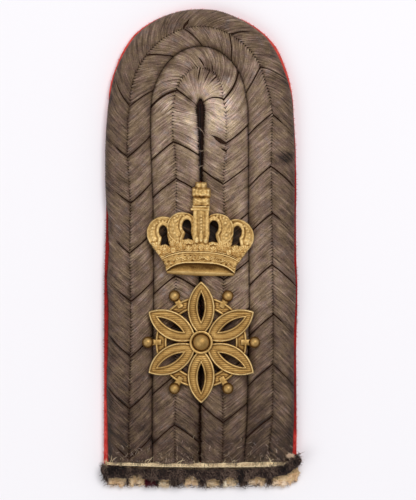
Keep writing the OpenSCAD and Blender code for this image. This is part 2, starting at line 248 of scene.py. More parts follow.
def tubes(heap, paths, half_w, half_h=None, sides=5, **values):
    """Adds closed tubes along paths, an array of count, steps and 3."""
    paths = np.asarray(paths, float)
    count, steps, _ = paths.shape
    along = unit(np.gradient(paths, axis=1))
    across = np.cross(along, [0.0, 0.0, 1.0])
    upright = np.linalg.norm(across, axis=-1, keepdims=True) < 0.1
    across = unit(np.where(upright, np.cross(along, [1.0, 0.0, 0.0]), across))
    up = np.cross(across, along)
    half_w = np.broadcast_to(half_w, (count, steps))
    half_h = half_w if half_h is None else np.broadcast_to(half_h, (count, steps))
    angle = np.pi / 2 + 2 * np.pi * np.arange(sides) / sides
    sideways = across[:, :, None] * (np.cos(angle)[:, None] * half_w[:, :, None, None])
    upwards = up[:, :, None] * (np.sin(angle)[:, None] * half_h[:, :, None, None])
    spread = {}
    for name, value in values.items():
        value = value[:, None] if np.ndim(value) == 1 else value
        spread[name] = np.repeat(np.broadcast_to(value, (count, steps)), sides)
    add_rings(heap, paths[:, :, None] + sideways + upwards, **spread)


def wander(count, steps, size):
    """Smooth random offsets along each of count paths."""
    noise = rng.normal(0, size, (count, steps, 3))
    return np.cumsum(noise, axis=1) / math.sqrt(steps)


def fibres(heap, roots, heading, length, curl, radius, steps=5, lowest=0.06, **values):
    """Adds thin three-sided fibres that leave their roots and curl at random, none below lowest."""
    tip = 0.45
    count = len(roots)
    heading = unit(heading)
    step = length[:, None] / (steps - 1)
    drift = unit(rng.normal(0, 1, (count, 3))) * curl * 0.5
    path = [roots]
    for _ in range(steps - 1):
        path.append(path[-1] + heading * step)
        heading = unit(heading + drift + rng.normal(0, curl * 0.35, (count, 3)))
    paths = np.stack(path, 1)
    paths[:, :, 2] = np.maximum(paths[:, :, 2], lowest)
    tubes(heap, paths, np.reshape(radius, (-1, 1)) * np.linspace(1, tip, steps), sides=3, **values)


# Materials


def linear(red, green, blue):
    """A colour of the photo, from 0 to 255 a channel, as linear light."""
    c = np.array([red, green, blue]) / 255
    return tuple(np.where(c <= 0.04045, c / 12.92, ((c + 0.055) / 1.055) ** 2.4)) + (1.0,)


class Surface:
    """A Principled material and short ways to add nodes to it."""

    def __init__(self, name, **constants):
        self.material = bpy.data.materials.new(name)
        self.material.use_nodes = True
        self.nodes = self.material.node_tree.nodes
        self.shader = self.nodes["Principled BSDF"]
        self.place = self.nodes.new("ShaderNodeTexCoord").outputs["Object"]
        for socket, value in constants.items():
            self.shader.inputs[socket.replace("_", " ")].default_value = value

    def join(self, source, target):
        """Links an output to an input."""
        self.material.node_tree.links.new(source, target)

    def add(self, kind, output, inputs, **settings):
        """Adds a node with its inputs, each a socket to join or a plain value, and gives its output."""
        node = self.nodes.new("ShaderNode" + kind)
        for name, value in settings.items():
            setattr(node, name, value)
        for key, value in inputs.items():
            if isinstance(value, bpy.types.NodeSocket):
                self.join(value, node.inputs[key])
            else:
                node.inputs[key].default_value = value
        return node.outputs[output]

    def value(self, name):
        """One of the mesh's point values."""
        return self.add("Attribute", "Fac", {}, attribute_name=name)

    def math(self, operation, *inputs):
        """The result of one operation on its inputs."""
        return self.add("Math", 0, dict(enumerate(inputs)), operation=operation)

    def total(self, *terms):
        """The sum of terms, each a source and its weight."""
        level = 0.0
        for source, weight in terms:
            level = self.math("MULTIPLY_ADD", source, weight, level)
        return level

    def varied(self, level, source, amount):
        """A level moved up and down by a source that runs from 0 to 1."""
        return self.math("MULTIPLY_ADD", self.math("SUBTRACT", source, 0.5), amount, level)

    def noise(self, size_mm, detail=3.0, stretch=None):
        """Noise whose patches are about size_mm across, from 0 to 1."""
        place = self.place
        if stretch:
            place = self.add("Mapping", 0, {"Vector": place, "Scale": stretch})
        inputs = {"Vector": place, "Scale": 1 / (size_mm * MM), "Detail": detail, "Roughness": 0.6}
        return self.add("TexNoise", 0, inputs)

    def ramp(self, source, *stops):
        """Colours at stops, each a place from 0 to 1 and a colour of the photo."""
        node = self.nodes.new("ShaderNodeValToRGB")
        elements = node.color_ramp.elements
        while len(elements) < len(stops):
            elements.new(0.5)
        for element, (place, colour) in zip(elements, stops):
            element.position = place
            element.color = linear(*colour)
        self.join(source, node.inputs[0])
        return node.outputs[0]

    def mix(self, share, a, b, blend="MIX"):
        """Two colours mixed; the Mix node's inputs 6 and 7 and its output 2 are its colours."""
        return self.add("Mix", 2, {0: share, 6: a, 7: b}, data_type="RGBA", blend_type=blend)

    def colour(self, source):
        """Makes a source the surface's colour."""
        self.join(source, self.shader.inputs["Base Color"])

    def rough(self, source, low, high):
        """Roughness from low to high, as a source runs from 0 to 1."""
        span = self.add("MapRange", 0, {"Value": source, "To Min": low, "To Max": high})
        self.join(span, self.shader.inputs["Roughness"])

    def bump(self, source, depth_mm, strength):
        """Bumps that rise by depth_mm as a source runs from 0 to 1."""
        inputs = {"Height": source, "Distance": depth_mm * MM, "Strength": strength}
        self.join(self.add("Bump", 0, inputs), self.shader.inputs["Normal"])

    def twist(self, turn_mm, depth_mm, strength):
        """Bumps along a thread, one for each turn of its twist."""
        turns = self.math("MULTIPLY", self.value("along"), 2 * math.pi / turn_mm)
        self.bump(self.math("SINE", turns), depth_mm, strength)


def braid_material():
    """Tarnished metal thread: pale where it is worn, brown where it isn't and darker where shade is painted
    into it, in a few tints.
    """
    s = Surface("metal_braid", Metallic=0.3, Specular_IOR_Level=0.5)
    fleck = s.noise(0.22, 2.0)
    level = s.varied(s.varied(s.value("wear"), s.noise(3.0, 4.0), 0.5), fleck, 0.6)
    silver = s.ramp(level, (0.0, (26, 18, 14)), (0.2, (84, 68, 56)), (0.45, (133, 116, 99)),
                    (0.7, (183, 168, 151)), (1.0, (243, 233, 218)))
    tint = s.ramp(s.noise(2.0, 3.0), (0.32, (236, 232, 248)), (0.44, (255, 222, 216)),
                  (0.5, (255, 243, 234)), (0.57, (255, 234, 202)), (0.7, (250, 236, 208)))
    s.colour(s.mix(0.7, silver, tint, "MULTIPLY"))
    s.rough(fleck, 0.32, 0.58)
    s.twist(0.14, 0.012, 0.5)
    return s.material


def padding_and_shade_material():
    """The braid's dark inside, near black as painted shade: it shows in the seams, holes and grooves and
    stands in for the shade there.
    """
    s = Surface("braid_padding", Roughness=0.95, Specular_IOR_Level=0.05)
    fibre = s.noise(0.3)
    s.colour(s.ramp(fibre, (0.3, (22, 13, 9)), (0.7, (66, 46, 35))))
    s.bump(fibre, 0.1, 0.7)
    return s.material


def felt_material(name, dark, mid, light, stain=(0, 0, 0), sheen=0.35):
    """Matted wool felt in three shades, with a fourth colour where its stain value is above 0."""
    s = Surface(name, Roughness=0.95, Sheen_Weight=sheen, Sheen_Roughness=0.5, Specular_IOR_Level=0.15)
    fibre = s.noise(0.25, 3.0, (1.0, 0.35, 1.0))
    level = s.total((s.noise(2.5, 4.0), 0.45), (fibre, 0.45), (s.value("tone"), 0.35))
    shades = s.ramp(level, (0.25, dark), (0.5, mid), (0.8, light))
    s.colour(s.mix(s.value("stain"), shades, linear(*stain)))
    s.bump(fibre, 0.12, 0.7)
    return s.material


def thread_material(name, dark, light, cloudy=0.0):
    """Plain spun thread with a twist along its length, in uneven patches where cloudy is above 0."""
    s = Surface(name, Roughness=0.7, Sheen_Weight=0.05, Specular_IOR_Level=0.1)
    level = s.total((s.noise(0.3), 0.6), (s.value("tone"), 0.5))
    level = s.varied(level, s.noise(2.0), cloudy)
    s.colour(s.ramp(level, (0.15, dark), (0.75, light)))
    s.twist(0.3, 0.03, 0.6)
    return s.material


def brass_material(name, base_rough, dim):
    """Gilt brass: dark in its hollows and bright on its worn ridges; its cavity value also carries painted
    shade and painted highlight.
    """
    s = Surface(name, Metallic=0.85, Specular_IOR_Level=0.5)
    grain = s.noise(0.25)
    level = s.math("SUBTRACT", s.value("cavity"), dim)
    level = s.varied(s.varied(level, s.noise(3.0, 4.0), 0.4), grain, 0.3)
    s.colour(s.ramp(level, (0.06, (92, 60, 22)), (0.3, (160, 124, 68)), (0.54, (204, 169, 108)),
                    (0.9, (252, 226, 166))))
    s.rough(level, base_rough + 0.14, base_rough - 0.06)
    s.bump(grain, 0.05, 0.6)
    return s.material


# The braids

pitch = 0.38
strand_steps = 13
strand_h = 0.18
# The end of a seam that runs to the edge of its half and past it
through = 1.3
# Seams of each braid: distance along its spine, from the sewn end on the left, and how far the seam
# stays open across one half, where 1 is its edge; in the other half each seam is open throughout
OUTER_SEAMS = [(0.6, 0.5), (13.3, 0.9), (26.6, 0.85), (40.6, 0.5), (53, 0.6), (65.7, 0.5), (77.5, 0.5),
               (90.5, 0.8), (103.6, 0), (116.1, 0.35), (129.3, 0.6), (141, 0.15), (152.6, 0.45), (166, 0.95),
               (178, 0.4), (191, 1), (203.8, 0.4), (216.6, 1), (229.8, 0)]
INNER_SEAMS = [(s, through) for s in (9.2, 21.9, 34.7, 47.4, 59.9, 72.1, 81.4, 93, 115.3)] + [(125.5, 0.55)]
INNER_SEAMS += [(s, through) for s in (135.7, 148, 160.2, 172.4, 184.5, 196.6)]
# Places where the threads have parted, as (distance, from, to, half width) across a half
PARTED = {
    "outer_out": [(116.1, 0.0, 0.42, 0.45)],
    "outer_in": [(116.1, 0.0, 0.9, 0.1), (103.6, -0.4, 0.6, 0.22)],
    "inner_out": [(104.6, -0.1, 0.5, 0.36), (107.4, -0.1, 0.35, 0.36), (127.4, -0.2, 0.2, 0.42)],
    "inner_in": [(125.5, -0.05, 0.6, 0.6), (103.4, 0.0, 0.5, 0.36), (106.6, -0.1, 0.55, 0.42),
                 (109.4, -0.1, 0.4, 0.36), (127.4, -0.25, 0.25, 0.5)],
}
# How far a thread leans along the spine on its way to the edge, at distances round the inner braid
OUTER_LEAN = [(84, -4.8), (93, -3.2), (104, -3.6), (115, -3.9), (124, -4.8)]
INNER_LEAN = [(84, -3.7), (93, 0.6), (104, -2.6), (115, -4.8), (125, -3.7)]
# One half of a braid: its edge, its threads' lean and the share of it that comes late, which side of
# the spine starts with its first thread, how much steeper it leans at the sewn end, how pale it is
# and whether its seams close early
Half = namedtuple("Half", "name edge lean late side steeper level closing")
outer_halves = [
    Half("outer_out", outer_edge, [(0, 5.4)], 0.2, -1, 0.05, 0.34, True),
    Half("outer_in", groove, [(0, 5.5)], 0.2, 1, 0.05, 0.41, False),
]
inner_halves = [
    Half("inner_out", groove, OUTER_LEAN, 0.15, -1, 0.05, 0.5, False),
    Half("inner_in", slit_edge, INNER_LEAN, 0.25, 1, 0.3, 0.48, True),
]
# Single threads that lie across the slit
SLIT_HAIRS = [[(-1.1, 31.2, 3.3), (-0.2, 30.6, 3.5), (0.7, 29.7, 3.4), (1.3, 28.6, 3.2)],
              [(-0.6, 25.1, 3.1), (0.3, 24.7, 3.3), (1.2, 24.9, 3.3), (1.9, 25.4, 3.3)],
              [(-0.7, 20.4, 3.1), (0, 20.8, 3.2), (0.7, 21.1, 3.1)]]
# Pale places, each with its middle, half sizes and strength: worn places, and at (-1.2, 27) the slit's left
# lip, which is partly wear and partly a painted highlight where light falls on it
WORN = [(5.6, 34.5, 4.2, 6.5, 0.42), (2.2, 33, 1.8, 6, 0.07), (-3, 33, 2.2, 4.5, 0.18),
        (-1.2, 27, 1.3, 10, 0.34), (-6.5, 33.5, 2, 3.5, 0.14), (-8.6, 36.8, 2.4, 2.2, 0.2),
        (-9.5, 23, 2, 3, 0.04), (0.5, 40.6, 6, 2.6, 0.22), (17, 24, 5, 14, 0.14), (-14, 22, 6, 14, 0.06),
        (-3, 54, 8, 4, 0.1), (13.5, 45, 2.5, 8, 0.12), (17.8, 45.5, 1.8, 4, 0.12),
        (13.6, -6, 2.6, 14, 0.14), (-13.5, -1.5, 2.2, 4, 0.12), (20.5, -5, 5, 8, 0.1),
        (21, -38, 3, 5, 0.14), (-19.2, -1.5, 2, 4.5, 0.14), (4, 22, 5, 5, 0.06), (1.8, 31, 0.9, 7, 0.12)]
# Dark places in the same form: darker patches on the braid, and painted shade under the crown (0, 1.7) and
# the rosette (0.3, -24), where the brass keeps light off the threads and its openings read dark
DARK_AND_SHADED = [(20.4, 23, 3.4, 1.9, 0.12), (21.9, 23.2, 1.6, 1.3, 0.16), (-2.8, 38.1, 0.9, 0.7, 0.25),
        (2.3, 46.6, 1.6, 1.4, 0.1), (4, 44.2, 3.2, 1.7, 0.14), (0, 1.7, 10.6, 6.8, 0.5),
        (0.3, -24, 10, 10, 0.3), (5, -52, 12, 3.5, 0.06)]


def braid_height(u):
    """Share of the braid's height, from its spine at u = 0 over the padding to its edge at u = 1."""
    crest = 0.45
    rise = 1 - 0.27 * (np.clip(crest - u, 0, 1) / crest) ** 2.2
    fall = 1 - 0.72 * (np.clip(u - crest, 0, 1) / (1 - crest)) ** 3
    return np.where(u < crest, rise, fall)


def wear_and_shade_at(x, y, level, u):
    """How pale the thread is: worn near the slit, dark at the sewn end and the outer edge, and darkened by
    painted shade under the crown and the rosette.
    """
    low = 0.55 + 0.45 * smooth(-56, -14, y)
    edge = 0.1 * smooth(0.55, 1, np.abs(u)) * smooth(14, 22, np.abs(x))
    wear = level * low - edge
    for cx, cy, wide, tall, strength in WORN:
        wear += strength * np.exp(-(((x - cx) / wide) ** 2) - ((y - cy) / tall) ** 2)
    # Darker patches, and painted shade under the crown and the rosette
    for cx, cy, wide, tall, strength in DARK_AND_SHADED:
        wear -= strength * smooth(1.25, 0.85, np.hypot((x - cx) / wide, (y - cy) / tall))
    return wear


def on_braid(spine, half, s, u):
    """A point of a braid's half: s along the spine, and u from 0 at the spine to 1 at its edge."""
    x, y = across_xy(spine, half.edge, p_at(s, spine), u)
    return x, y, braid_z + braid_t * braid_height(u)


def overhang(x):
    """How far the threads run past the braid's end to reach the tape, at x."""
    return np.clip(braid_end_y - tape_y(x) - tape_half(x) - 0.08, 0, 2)


def leaned(half, u):
    """The share of its lean that a thread has reached at u."""
    return (1 - half.late) * u + half.late * u * np.abs(u)


def thread_span(spine, half, s0, slant, start):
    """The u where each thread starts and where it ends, cut off where it passes the sewn end."""
    u = np.linspace(-0.1, 1, 60)
    s = s0[:, None] + slant * leaned(half, u)
    x = spine.end + (half.edge.end - spine.end) * u
    shown = (s >= -overhang(-x)) & (s <= spine_length(spine) + overhang(x))
    first = np.where(shown.any(1), u[shown.argmax(1)], 2)
    last = np.where(shown.any(1), u[len(u) - 1 - shown[:, ::-1].argmax(1)], -2)
    if half.edge is slit_edge:
        last = np.minimum(last, 1 - np.abs(rng.normal(0, 0.025, len(s0))))
    return np.maximum(start, first), last


def open_seams(half, seams, s0, s, u, keep):
    """Leaves a thread out at each seam and moves the others apart; gives their drop and nearness."""
    drop = np.zeros_like(s)
    near_seam = np.zeros_like(s)
    for seam, end in seams:
        end = end if half.closing else through
        nearest = np.abs(s0 - seam).argmin()
        if end < 0.1 or abs(s0[nearest] - seam) > pitch:
            continue
        keep[nearest] = False
        off = (s0 - s0[nearest])[:, None]
        lane = np.abs(off)
        still_open = smooth(end + 0.1, end - 0.12, u)
        near = np.exp(-((lane / 0.5) ** 2)) * still_open
        near_seam = np.maximum(near_seam, near)
        drop += 0.16 * near
        s += np.sign(off) * 0.07 * np.exp(-lane / 0.8) * still_open
        s -= np.sign(off) * pitch * 0.5 * np.exp(-lane / 2.5) * (1 - still_open)
    for at, low, high, width in PARTED[half.name]:
        off = (s0 - at)[:, None]
        bump = np.sin(np.pi * np.clip((u - low) / (high - low), 0, 1))
        s += np.sign(off) * width * np.exp(-np.abs(off) / 1.1) * bump
        drop += 0.35 * np.exp(-((off / 0.6) ** 2)) * bump
    return drop, near_seam


def strands(heap, spine, half, seams):
    """One half of a braid: threads that run at a slant from its spine to its edge."""
    total = spine_length(spine)
    lean_at, lean = np.transpose(half.lean)
    reach = abs(lean).max() * 1.4
    s0 = np.arange(-reach, total + reach, pitch)
    s0 += rng.normal(0, 0.02, len(s0))
    from_end = np.minimum(s0, total - s0)
    slant = np.interp(s0, lean_at, lean) * (1 + half.steeper * smooth(55, 15, from_end))
    slant = slant[:, None]
    pair = np.arange(len(s0)) % 2
    start = np.where(pair == (half.side > 0), -0.07, 0.02) + rng.normal(0, 0.01, len(s0))
    low, high = thread_span(spine, half, s0, slant, start)
    keep = high - low > 0.06
    t = np.linspace(0, 1, strand_steps)
    t = 0.65 * t + 0.35 * (1 - np.cos(np.pi * t)) / 2
    u = low[:, None] + (high - low)[:, None] * t
    s = s0[:, None] + slant * leaned(half, u)
    from_spine = np.clip(u, 0, 1)

    # Threads bunch in pairs at the spine
    bunch = 0.2 if spine is inner_spine else 0.18
    s += (pair[:, None] - 0.5) * -bunch * np.exp(-from_spine / 0.07)
    drop, near_seam = open_seams(half, seams, s0, s, u, keep)
    x, y, z = on_braid(spine, half, s, u)
    wave = wander(len(s0), strand_steps, 0.03)
    z += wave[:, :, 2] * 0.6 - strand_h - drop - 0.22 * smooth(0.03, -0.06, u)
    paths = xyz(x + wave[:, :, 0] * 0.5, y + wave[:, :, 1] * 0.5, z)

    # Each thread is as wide as the space to its neighbours, and thin at its ends
    between = np.gradient(paths, axis=0)
    along = unit(np.gradient(paths, axis=1))
    between -= (between * along).sum(-1, keepdims=True) * along
    half_w = np.clip(np.linalg.norm(between, axis=-1) * 0.5, 0.07, 0.28)
    ends = np.ones(strand_steps)
    ends[[0, -1]] = 0.55

    tone = rng.normal(0, 0.03, len(s0)) + 0.07 * (rng.random(len(s0)) > 0.9)
    streak = rng.normal(0, 0.12, (s.shape[0], s.shape[1] + 2))
    streak = (streak[:, :-2] + streak[:, 1:-1] + streak[:, 2:]) / 3
    # near_seam darkens the threads beside each seam: painted shade in the seam's crease
    wear = wear_and_shade_at(x, y, half.level, u) + tone[:, None] + streak - 0.2 * near_seam
    wear += np.exp(-from_spine / 0.06) * np.where(wear > 0.45, 0.12, 0.02)
    run_mm = np.cumsum(np.linalg.norm(np.diff(paths, axis=1, prepend=paths[:, :1]), axis=-1), axis=1)
    tubes(heap, paths[keep], (half_w * ends)[keep], strand_h * ends, wear=wear[keep], along=run_mm[keep])


def loose_threads(heap, spine, half):
    """Broken thread ends at the sewn end: dark ones that hang over the tape, pale ones that lie on top."""
    for count, pale in ((90, False), (62, True)):
        side = rng.choice([-1, 1], count)
        u = rng.uniform(0.03, 0.97, count)
        x = side * (spine.end + (half.edge.end - spine.end) * u)
        inward = np.abs(rng.normal(0, 2.6, count)) if pale else rng.uniform(-0.2, 0.8, count)
        s = inward - overhang(x)
        x, y, z = on_braid(spine, half, np.where(side < 0, s, spine_length(spine) - s), u)
        way = rng.normal(0, 1, (count, 3)) * [0.8, 1, 0.1] + [0, 0, 0.15] if pale else [0, -1, 0.05]
        heading = way + rng.normal(0, 0.3, (count, 3))
        wear = rng.uniform(0.5, 1.05, count) if pale else rng.uniform(0, 0.45, count)
        fibres(heap, xyz(x, y, z - 0.1), heading, rng.uniform(0.4, 1.5, count), 0.5, 0.05, wear=wear)


def make_padding_and_shade(node, edges, spine, flange, material):
    """The padding, one closed body just below the threads, with a low flange along its inner edge; it is
    partly the braid's inside and partly painted shade, a dark body that shows in the seams, the grooves and
    along the slit.
    """
    total = spine_length(spine)
    p = p_at(np.arange(0, total + 0.5, 1.0).clip(0, total), spine)
    flange_h = 0.2
    crest = [0.97, 0.9, 0.75, 0.5, 0.25, 0.08, 0]
    heights = [max(braid_t * braid_height(u) - 2.6 * strand_h, flange_h) for u in crest]
    section = [(edges[0], 1, 0), (edges[1], 0, 0), (flange, 1, 0), (flange, 1, flange_h)]
    section += [(edges[1], u, height) for u, height in zip(crest[:-1], heights)]
    section += [(edges[0], u, height) for u, height in zip(crest[::-1], heights[::-1])]
    section += [(edges[0], 1, flange_h)]
    rows = []
    for edge, share, height in section:
        x, y = across_xy(spine, edge, p, share)
        y[[0, -1]] -= overhang(x[[0, -1]])
        rows.append(xyz(x, y, braid_z + height))
    heap = Heap()
    add_rings(heap, np.stack(rows, 1)[None])
    piece = heap.build(node + "_padding", material, node)


def make_braid(node, spine, halves, seams, material, hairs=()):
    """The threads of one braid, with single threads pulled loose along hairs."""
    heap = Heap("wear", "along")
    for half in halves:
        strands(heap, spine, half, seams)
        loose_threads(heap, spine, half)
    for hair in hairs:
        tubes(heap, [hair], 0.06, sides=4, wear=0.75)
    heap.build(node + "_threads", material, node)


# Relief worked out on a grid, for the brass pieces and the felt

# The four neighbours of a grid cell in rows and columns, each with the two corners that it shares
NEIGHBOURS = [((-1, 0), (0, 0), (0, 1)), ((0, 1), (0, 1), (1, 1)), ((1, 0), (1, 1), (1, 0)),
              ((0, -1), (1, 0), (0, 0))]


def disc(x, y, cx, cy, r):
    """Distance to a circle, below 0 inside it, as for the forms below."""
    return np.hypot(x - cx, y - cy) - r


def oval(x, y, cx, cy, rx, ry, scale):
    """About the distance to an ellipse."""
    return (np.hypot((x - cx) / rx, (y - cy) / ry) - 1) * scale


def block(x, y, x0, x1, y0, y1):
    """Distance to a rectangle."""
    dx = np.abs(x - (x0 + x1) / 2) - (x1 - x0) / 2
    dy = np.abs(y - (y0 + y1) / 2) - (y1 - y0) / 2
    return np.hypot(np.maximum(dx, 0), np.maximum(dy, 0)) + np.minimum(np.maximum(dx, dy), 0)


def polygon(x, y, corners):
    """Distance to a polygon."""
    nearest = np.full(x.shape, np.inf)
    inside = np.zeros(x.shape, bool)
    for (ax, ay), (bx, by) in zip(corners, corners[1:] + corners[:1]):
        ex, ey = bx - ax, by - ay
        share = np.clip(((x - ax) * ex + (y - ay) * ey) / (ex * ex + ey * ey), 0, 1)
        nearest = np.minimum(nearest, np.hypot(x - ax - ex * share, y - ay - ey * share))
        crosses = (ay > y) != (by > y)
        level = np.where(crosses, (x - ax) * (ey if ey else 1) - (y - ay) * ex, 0)
        inside ^= crosses & ((level < 0) == (ey > 0))
    return np.where(inside, -nearest, nearest)


def ridge(distance, half, height):
    """A rounded ridge of that half width and height along distance 0."""
    return height * np.sqrt(np.clip(1 - (distance / half) ** 2, 0, 1))


def plateau(distance, half, height):
    """A flat-topped ridge of that half width and height along distance 0."""
    return height * smooth(half, half - 0.12, np.abs(distance))


def hill(distance, middle, half, height):
    """A smooth rise of that half width and height round a middle."""
    return height * np.exp(-(((distance - middle) / half) ** 2))


def lumps(x, y, size, seed):
    """Smooth uneven relief from -1 to 1, with lumps about size across."""
    waves = np.random.default_rng(seed)
    total = np.zeros(x.shape)
    for _ in range(14):
        turn = waves.random() * 2 * np.pi
        k = 2 * np.pi / (size * (1 + waves.random()))
        total += np.sin((x * np.cos(turn) + y * np.sin(turn)) * k + waves.random() * 2 * np.pi)
    return total / 5


def blurred(h, radius):
    """h with each value averaged over the square of that radius, in cells."""
    span = 2 * radius + 1
    for axis in (0, 1):
        pad = [(0, 0), (0, 0)]
        pad[axis] = (radius + 1, radius)
        total = np.cumsum(np.pad(h, pad, mode="edge"), axis=axis)
        high = np.take(total, range(span, total.shape[axis]), axis=axis)
        low = np.take(total, range(total.shape[axis] - span), axis=axis)
        h = (high - low) / span
    return h


def cavity_of(top, cells):
    """0 in hollows, about 0.5 on flats and 1 on ridges."""
    return np.clip(0.5 + (top - blurred(top, cells)) / 0.9, 0, 1)


def relief(heap, x, y, outline, top, back, origin, rounding=0.0, **values):
    """Adds the closed body between two heights inside an outline, with its edge moved onto it."""
    step = x[0, 1] - x[0, 0]
    inside = outline < 0
    cell = inside[:-1, :-1] & inside[1:, :-1] & inside[:-1, 1:] & inside[1:, 1:]
    # No two cells meet at a corner alone
    for _ in range(3):
        a, b, c, d = cell[:-1, :-1], cell[1:, 1:], cell[:-1, 1:], cell[1:, :-1]
        b &= ~(a & b & ~c & ~d)
        d &= ~(c & d & ~a & ~b)
    padded = np.pad(cell, 1)
    around = padded[:-1, :-1].astype(int) + padded[1:, :-1] + padded[:-1, 1:] + padded[1:, 1:]
    used = around > 0
    rim = used & (around < 4)
    slope_y, slope_x = np.gradient(outline, step)
    steep = np.maximum(np.hypot(slope_x, slope_y), 0.5)
    move = np.where(rim, np.clip(-outline, -step, 1.6 * step), 0)
    px = x + move * slope_x / steep
    py = y + move * slope_y / steep
    if rounding:
        short = np.clip(rounding - np.where(rim, 0, -outline), 0, None)
        top = top - rounding + np.sqrt(np.clip(rounding**2 - short**2, 0, None))
    n = used.sum()
    index = np.full(x.shape, -1)
    index[used] = np.arange(n)
    upper, lower = (xyz(px, py, height)[used] for height in (top, back))
    quads = np.stack([index[:-1, :-1], index[:-1, 1:], index[1:, 1:], index[1:, :-1]], -1)[cell]
    quads = [quads, quads[:, ::-1] + n]
    rows, columns = cell.shape
    for (down, right), near, far in NEIGHBOURS:
        beside = padded[1 + down : 1 + down + rows, 1 + right : 1 + right + columns]
        j, i = np.nonzero(cell & ~beside)
        a = index[j + near[0], i + near[1]]
        b = index[j + far[0], i + far[1]]
        quads.append(np.stack([b, a, a + n, b + n], -1))
    point_values = {name: np.tile(value[used], 2) for name, value in values.items()}
    heap.add(np.concatenate([upper, lower]) + origin, np.concatenate(quads), **point_values)


def mesh_grid(x0, x1, y0, y1, step):
    """Square grid points from x0 to x1 and y0 to y1."""
    return np.meshgrid(np.arange(x0, x1 + step, step), np.arange(y0, y1 + step, step))


def make_casting(node, name, material, at, pins, heights, rounding, cells, shade=0.0):
    """A brass piece: its relief, and the plain hidden pins that hold it."""
    x, y, outline, h = heights
    pin_r, pin_sides, pin_in = 0.6, 16, 0.2
    heap = Heap("cavity")
    # The cavity value takes in shade, the painted shade and highlight of the relief, and so reaches the brass
    # colour
    relief(heap, x, y, outline, h, 0.0, [*at, brass_z], rounding=rounding, cavity=cavity_of(h, cells) - shade)
    pin_z = node_box(node)[0][2]
    paths = [[[at[0] + x, at[1] + y, pin_z], [at[0] + x, at[1] + y, brass_z + pin_in]] for x, y in pins]
    tubes(heap, paths, pin_r, sides=pin_sides, cavity=0.4)
    heap.build(name, material, node, sharp=62)


# The crown, measured from the middle of its lower edge

crown_at = (0.1, base_y + 53.8)
crown_pins = [(-5, 4.6), (5, 4.6)]
crown_step = 0.1
CROWN_SIDE = [(12.2, 9.2), (12.3, 7.1), (10.7, 5.0), (9.1, 2.7), (8.5, 0)]
# Each arch's middle and radius; the shaft between them stands a little to the right
OUTER_ARCH = (9.25, 10.4, 4.4)
INNER_ARCH = (4.5, 12.0, 4.05)
shaft_x = 0.2
shaft_half = 2.05
leaf_foot = 8.4
# How high the crown's parts stand above its back
outer_arch_h = 2.1
inner_arch_h = 2.4
shaft_h = 2.7
leaf_h = 2.2
circlet_h = 2.5
hollow_h = 1.45
foot_h = 1.85
collar_h = 2.75
knot_h = 2.05
pearl_r = 0.34
pearl_pitch = 0.8
# Fans and curls of the crown's leaves, each with its middle, its radius and its rays, 0 for rings
FOLIAGE = [(0, 7.2, 0.85, 0), (1.5, 7.0, 1.0, 7), (2.55, 8.55, 0.7, 0), (3.65, 8.55, 0.7, 0),
           (3.1, 6.8, 0.9, 5), (5.2, 7.6, 1.35, 9), (7.1, 6.3, 0.8, 0), (7.2, 8.1, 0.8, 5),
           (9.2, 6.6, 1.45, 9), (11.3, 7.3, 1.1, 6), (10.9, 5.6, 0.7, 0), (9.7, 4.2, 0.8, 0),
           (12.3, 8.4, 0.8, 0)]
# Lumps of the shaft's leaf and of the orb and cross: middle, half sizes and height
SHAFT_LEAVES = [(0, 9.9, 0.65, 1.35, 0.5), (-1.15, 9.2, 0.65, 0.9, 0.42), (1.15, 9.2, 0.65, 0.9, 0.42),
                (0, 11.1, 0.5, 0.4, 0.4)]
KNOBS = [(-1.1, 18.85, 1.3, 1.3, 0.3), (1.15, 18.9, 1.3, 1.35, 0.38), (-1.4, 21.1, 1.2, 1.4, 0.3),
         (1.45, 21.2, 1.25, 1.5, 0.5), (0.05, 21.4, 0.8, 1.5, 0.36), (-0.6, 23.2, 0.9, 0.9, 0.3),
         (0.7, 23.0, 0.8, 1.1, 0.5)]


def arc_points(arch, r, start, stop, spacing):
    """Points along an arc round an arch's middle, from start to stop in degrees."""
    count = int(abs(math.radians(stop - start)) * r / spacing) + 1
    angles = np.radians(np.linspace(start, stop, count))
    return [(arch[0] + r * math.cos(a), arch[1] + r * math.sin(a)) for a in angles]


def with_pearls(h, x, y, places, size, base, uneven):
    """h with a low round pearl at each place, in sizes that vary by that share."""
    for cx, cy in places:
        r = size * (1 + uneven * rng.uniform(-1, 1))
        near = (np.abs(x - cx) < r) & (np.abs(y - cy) < r)
        square = r * r - (x[near] - cx) ** 2 - (y[near] - cy) ** 2
        pearl = base + 0.65 * np.sqrt(np.clip(square, 0, None))
        h[near] = np.where(square > 0, np.maximum(h[near], pearl), h[near])
    return h


def blended(x, y, table, blend):
    """Rounded lumps run together; each has a middle, two half sizes and a height."""
    total = np.ones(x.shape)
    for cx, cy, rx, ry, high in table:
        square = 1 - ((x - cx) / rx) ** 2 - ((y - cy) / ry) ** 2
        total += np.exp(blend * high * np.sqrt(np.clip(square, 0, None))) - 1
    return np.log(total) / blend


def crown_holes(x, y):
    """Distance to the openings between the arches, round at the top with a neck and a flared foot."""
    ax = np.abs(x)
    longer = 0.5 * smooth(0, 1, x) * smooth(11, 9.4, y)
    neck = [(2.35, 12.4), (4.5, 12.2), (3.8, 10.7), (4.4, 9.1), (3.1, 9.4), (1.85, 9.0), (2.4, 10.7)]
    inner = np.minimum(oval(ax, y, 3.45, 12.6, 1.15, 1.6, 1.3), polygon(ax, y + longer, neck))
    y = y + 0.5 * smooth(-6, -7, x)
    inner_side = 7.74 + 0.18 * (y - 7.75)
    bowl = np.maximum(oval(ax, y, 9.45, 11.5, 1.05, 1.5, 1.2), inner_side - ax)
    neck = [(8.55, 12.3), (10.4, 11.4), (9.85, 9.9), (10.15, 7.9), (8.9, 8.3), (7.8, 7.7), (8.3, 9.8)]
    return inner, np.minimum(bowl, polygon(ax, y, neck))


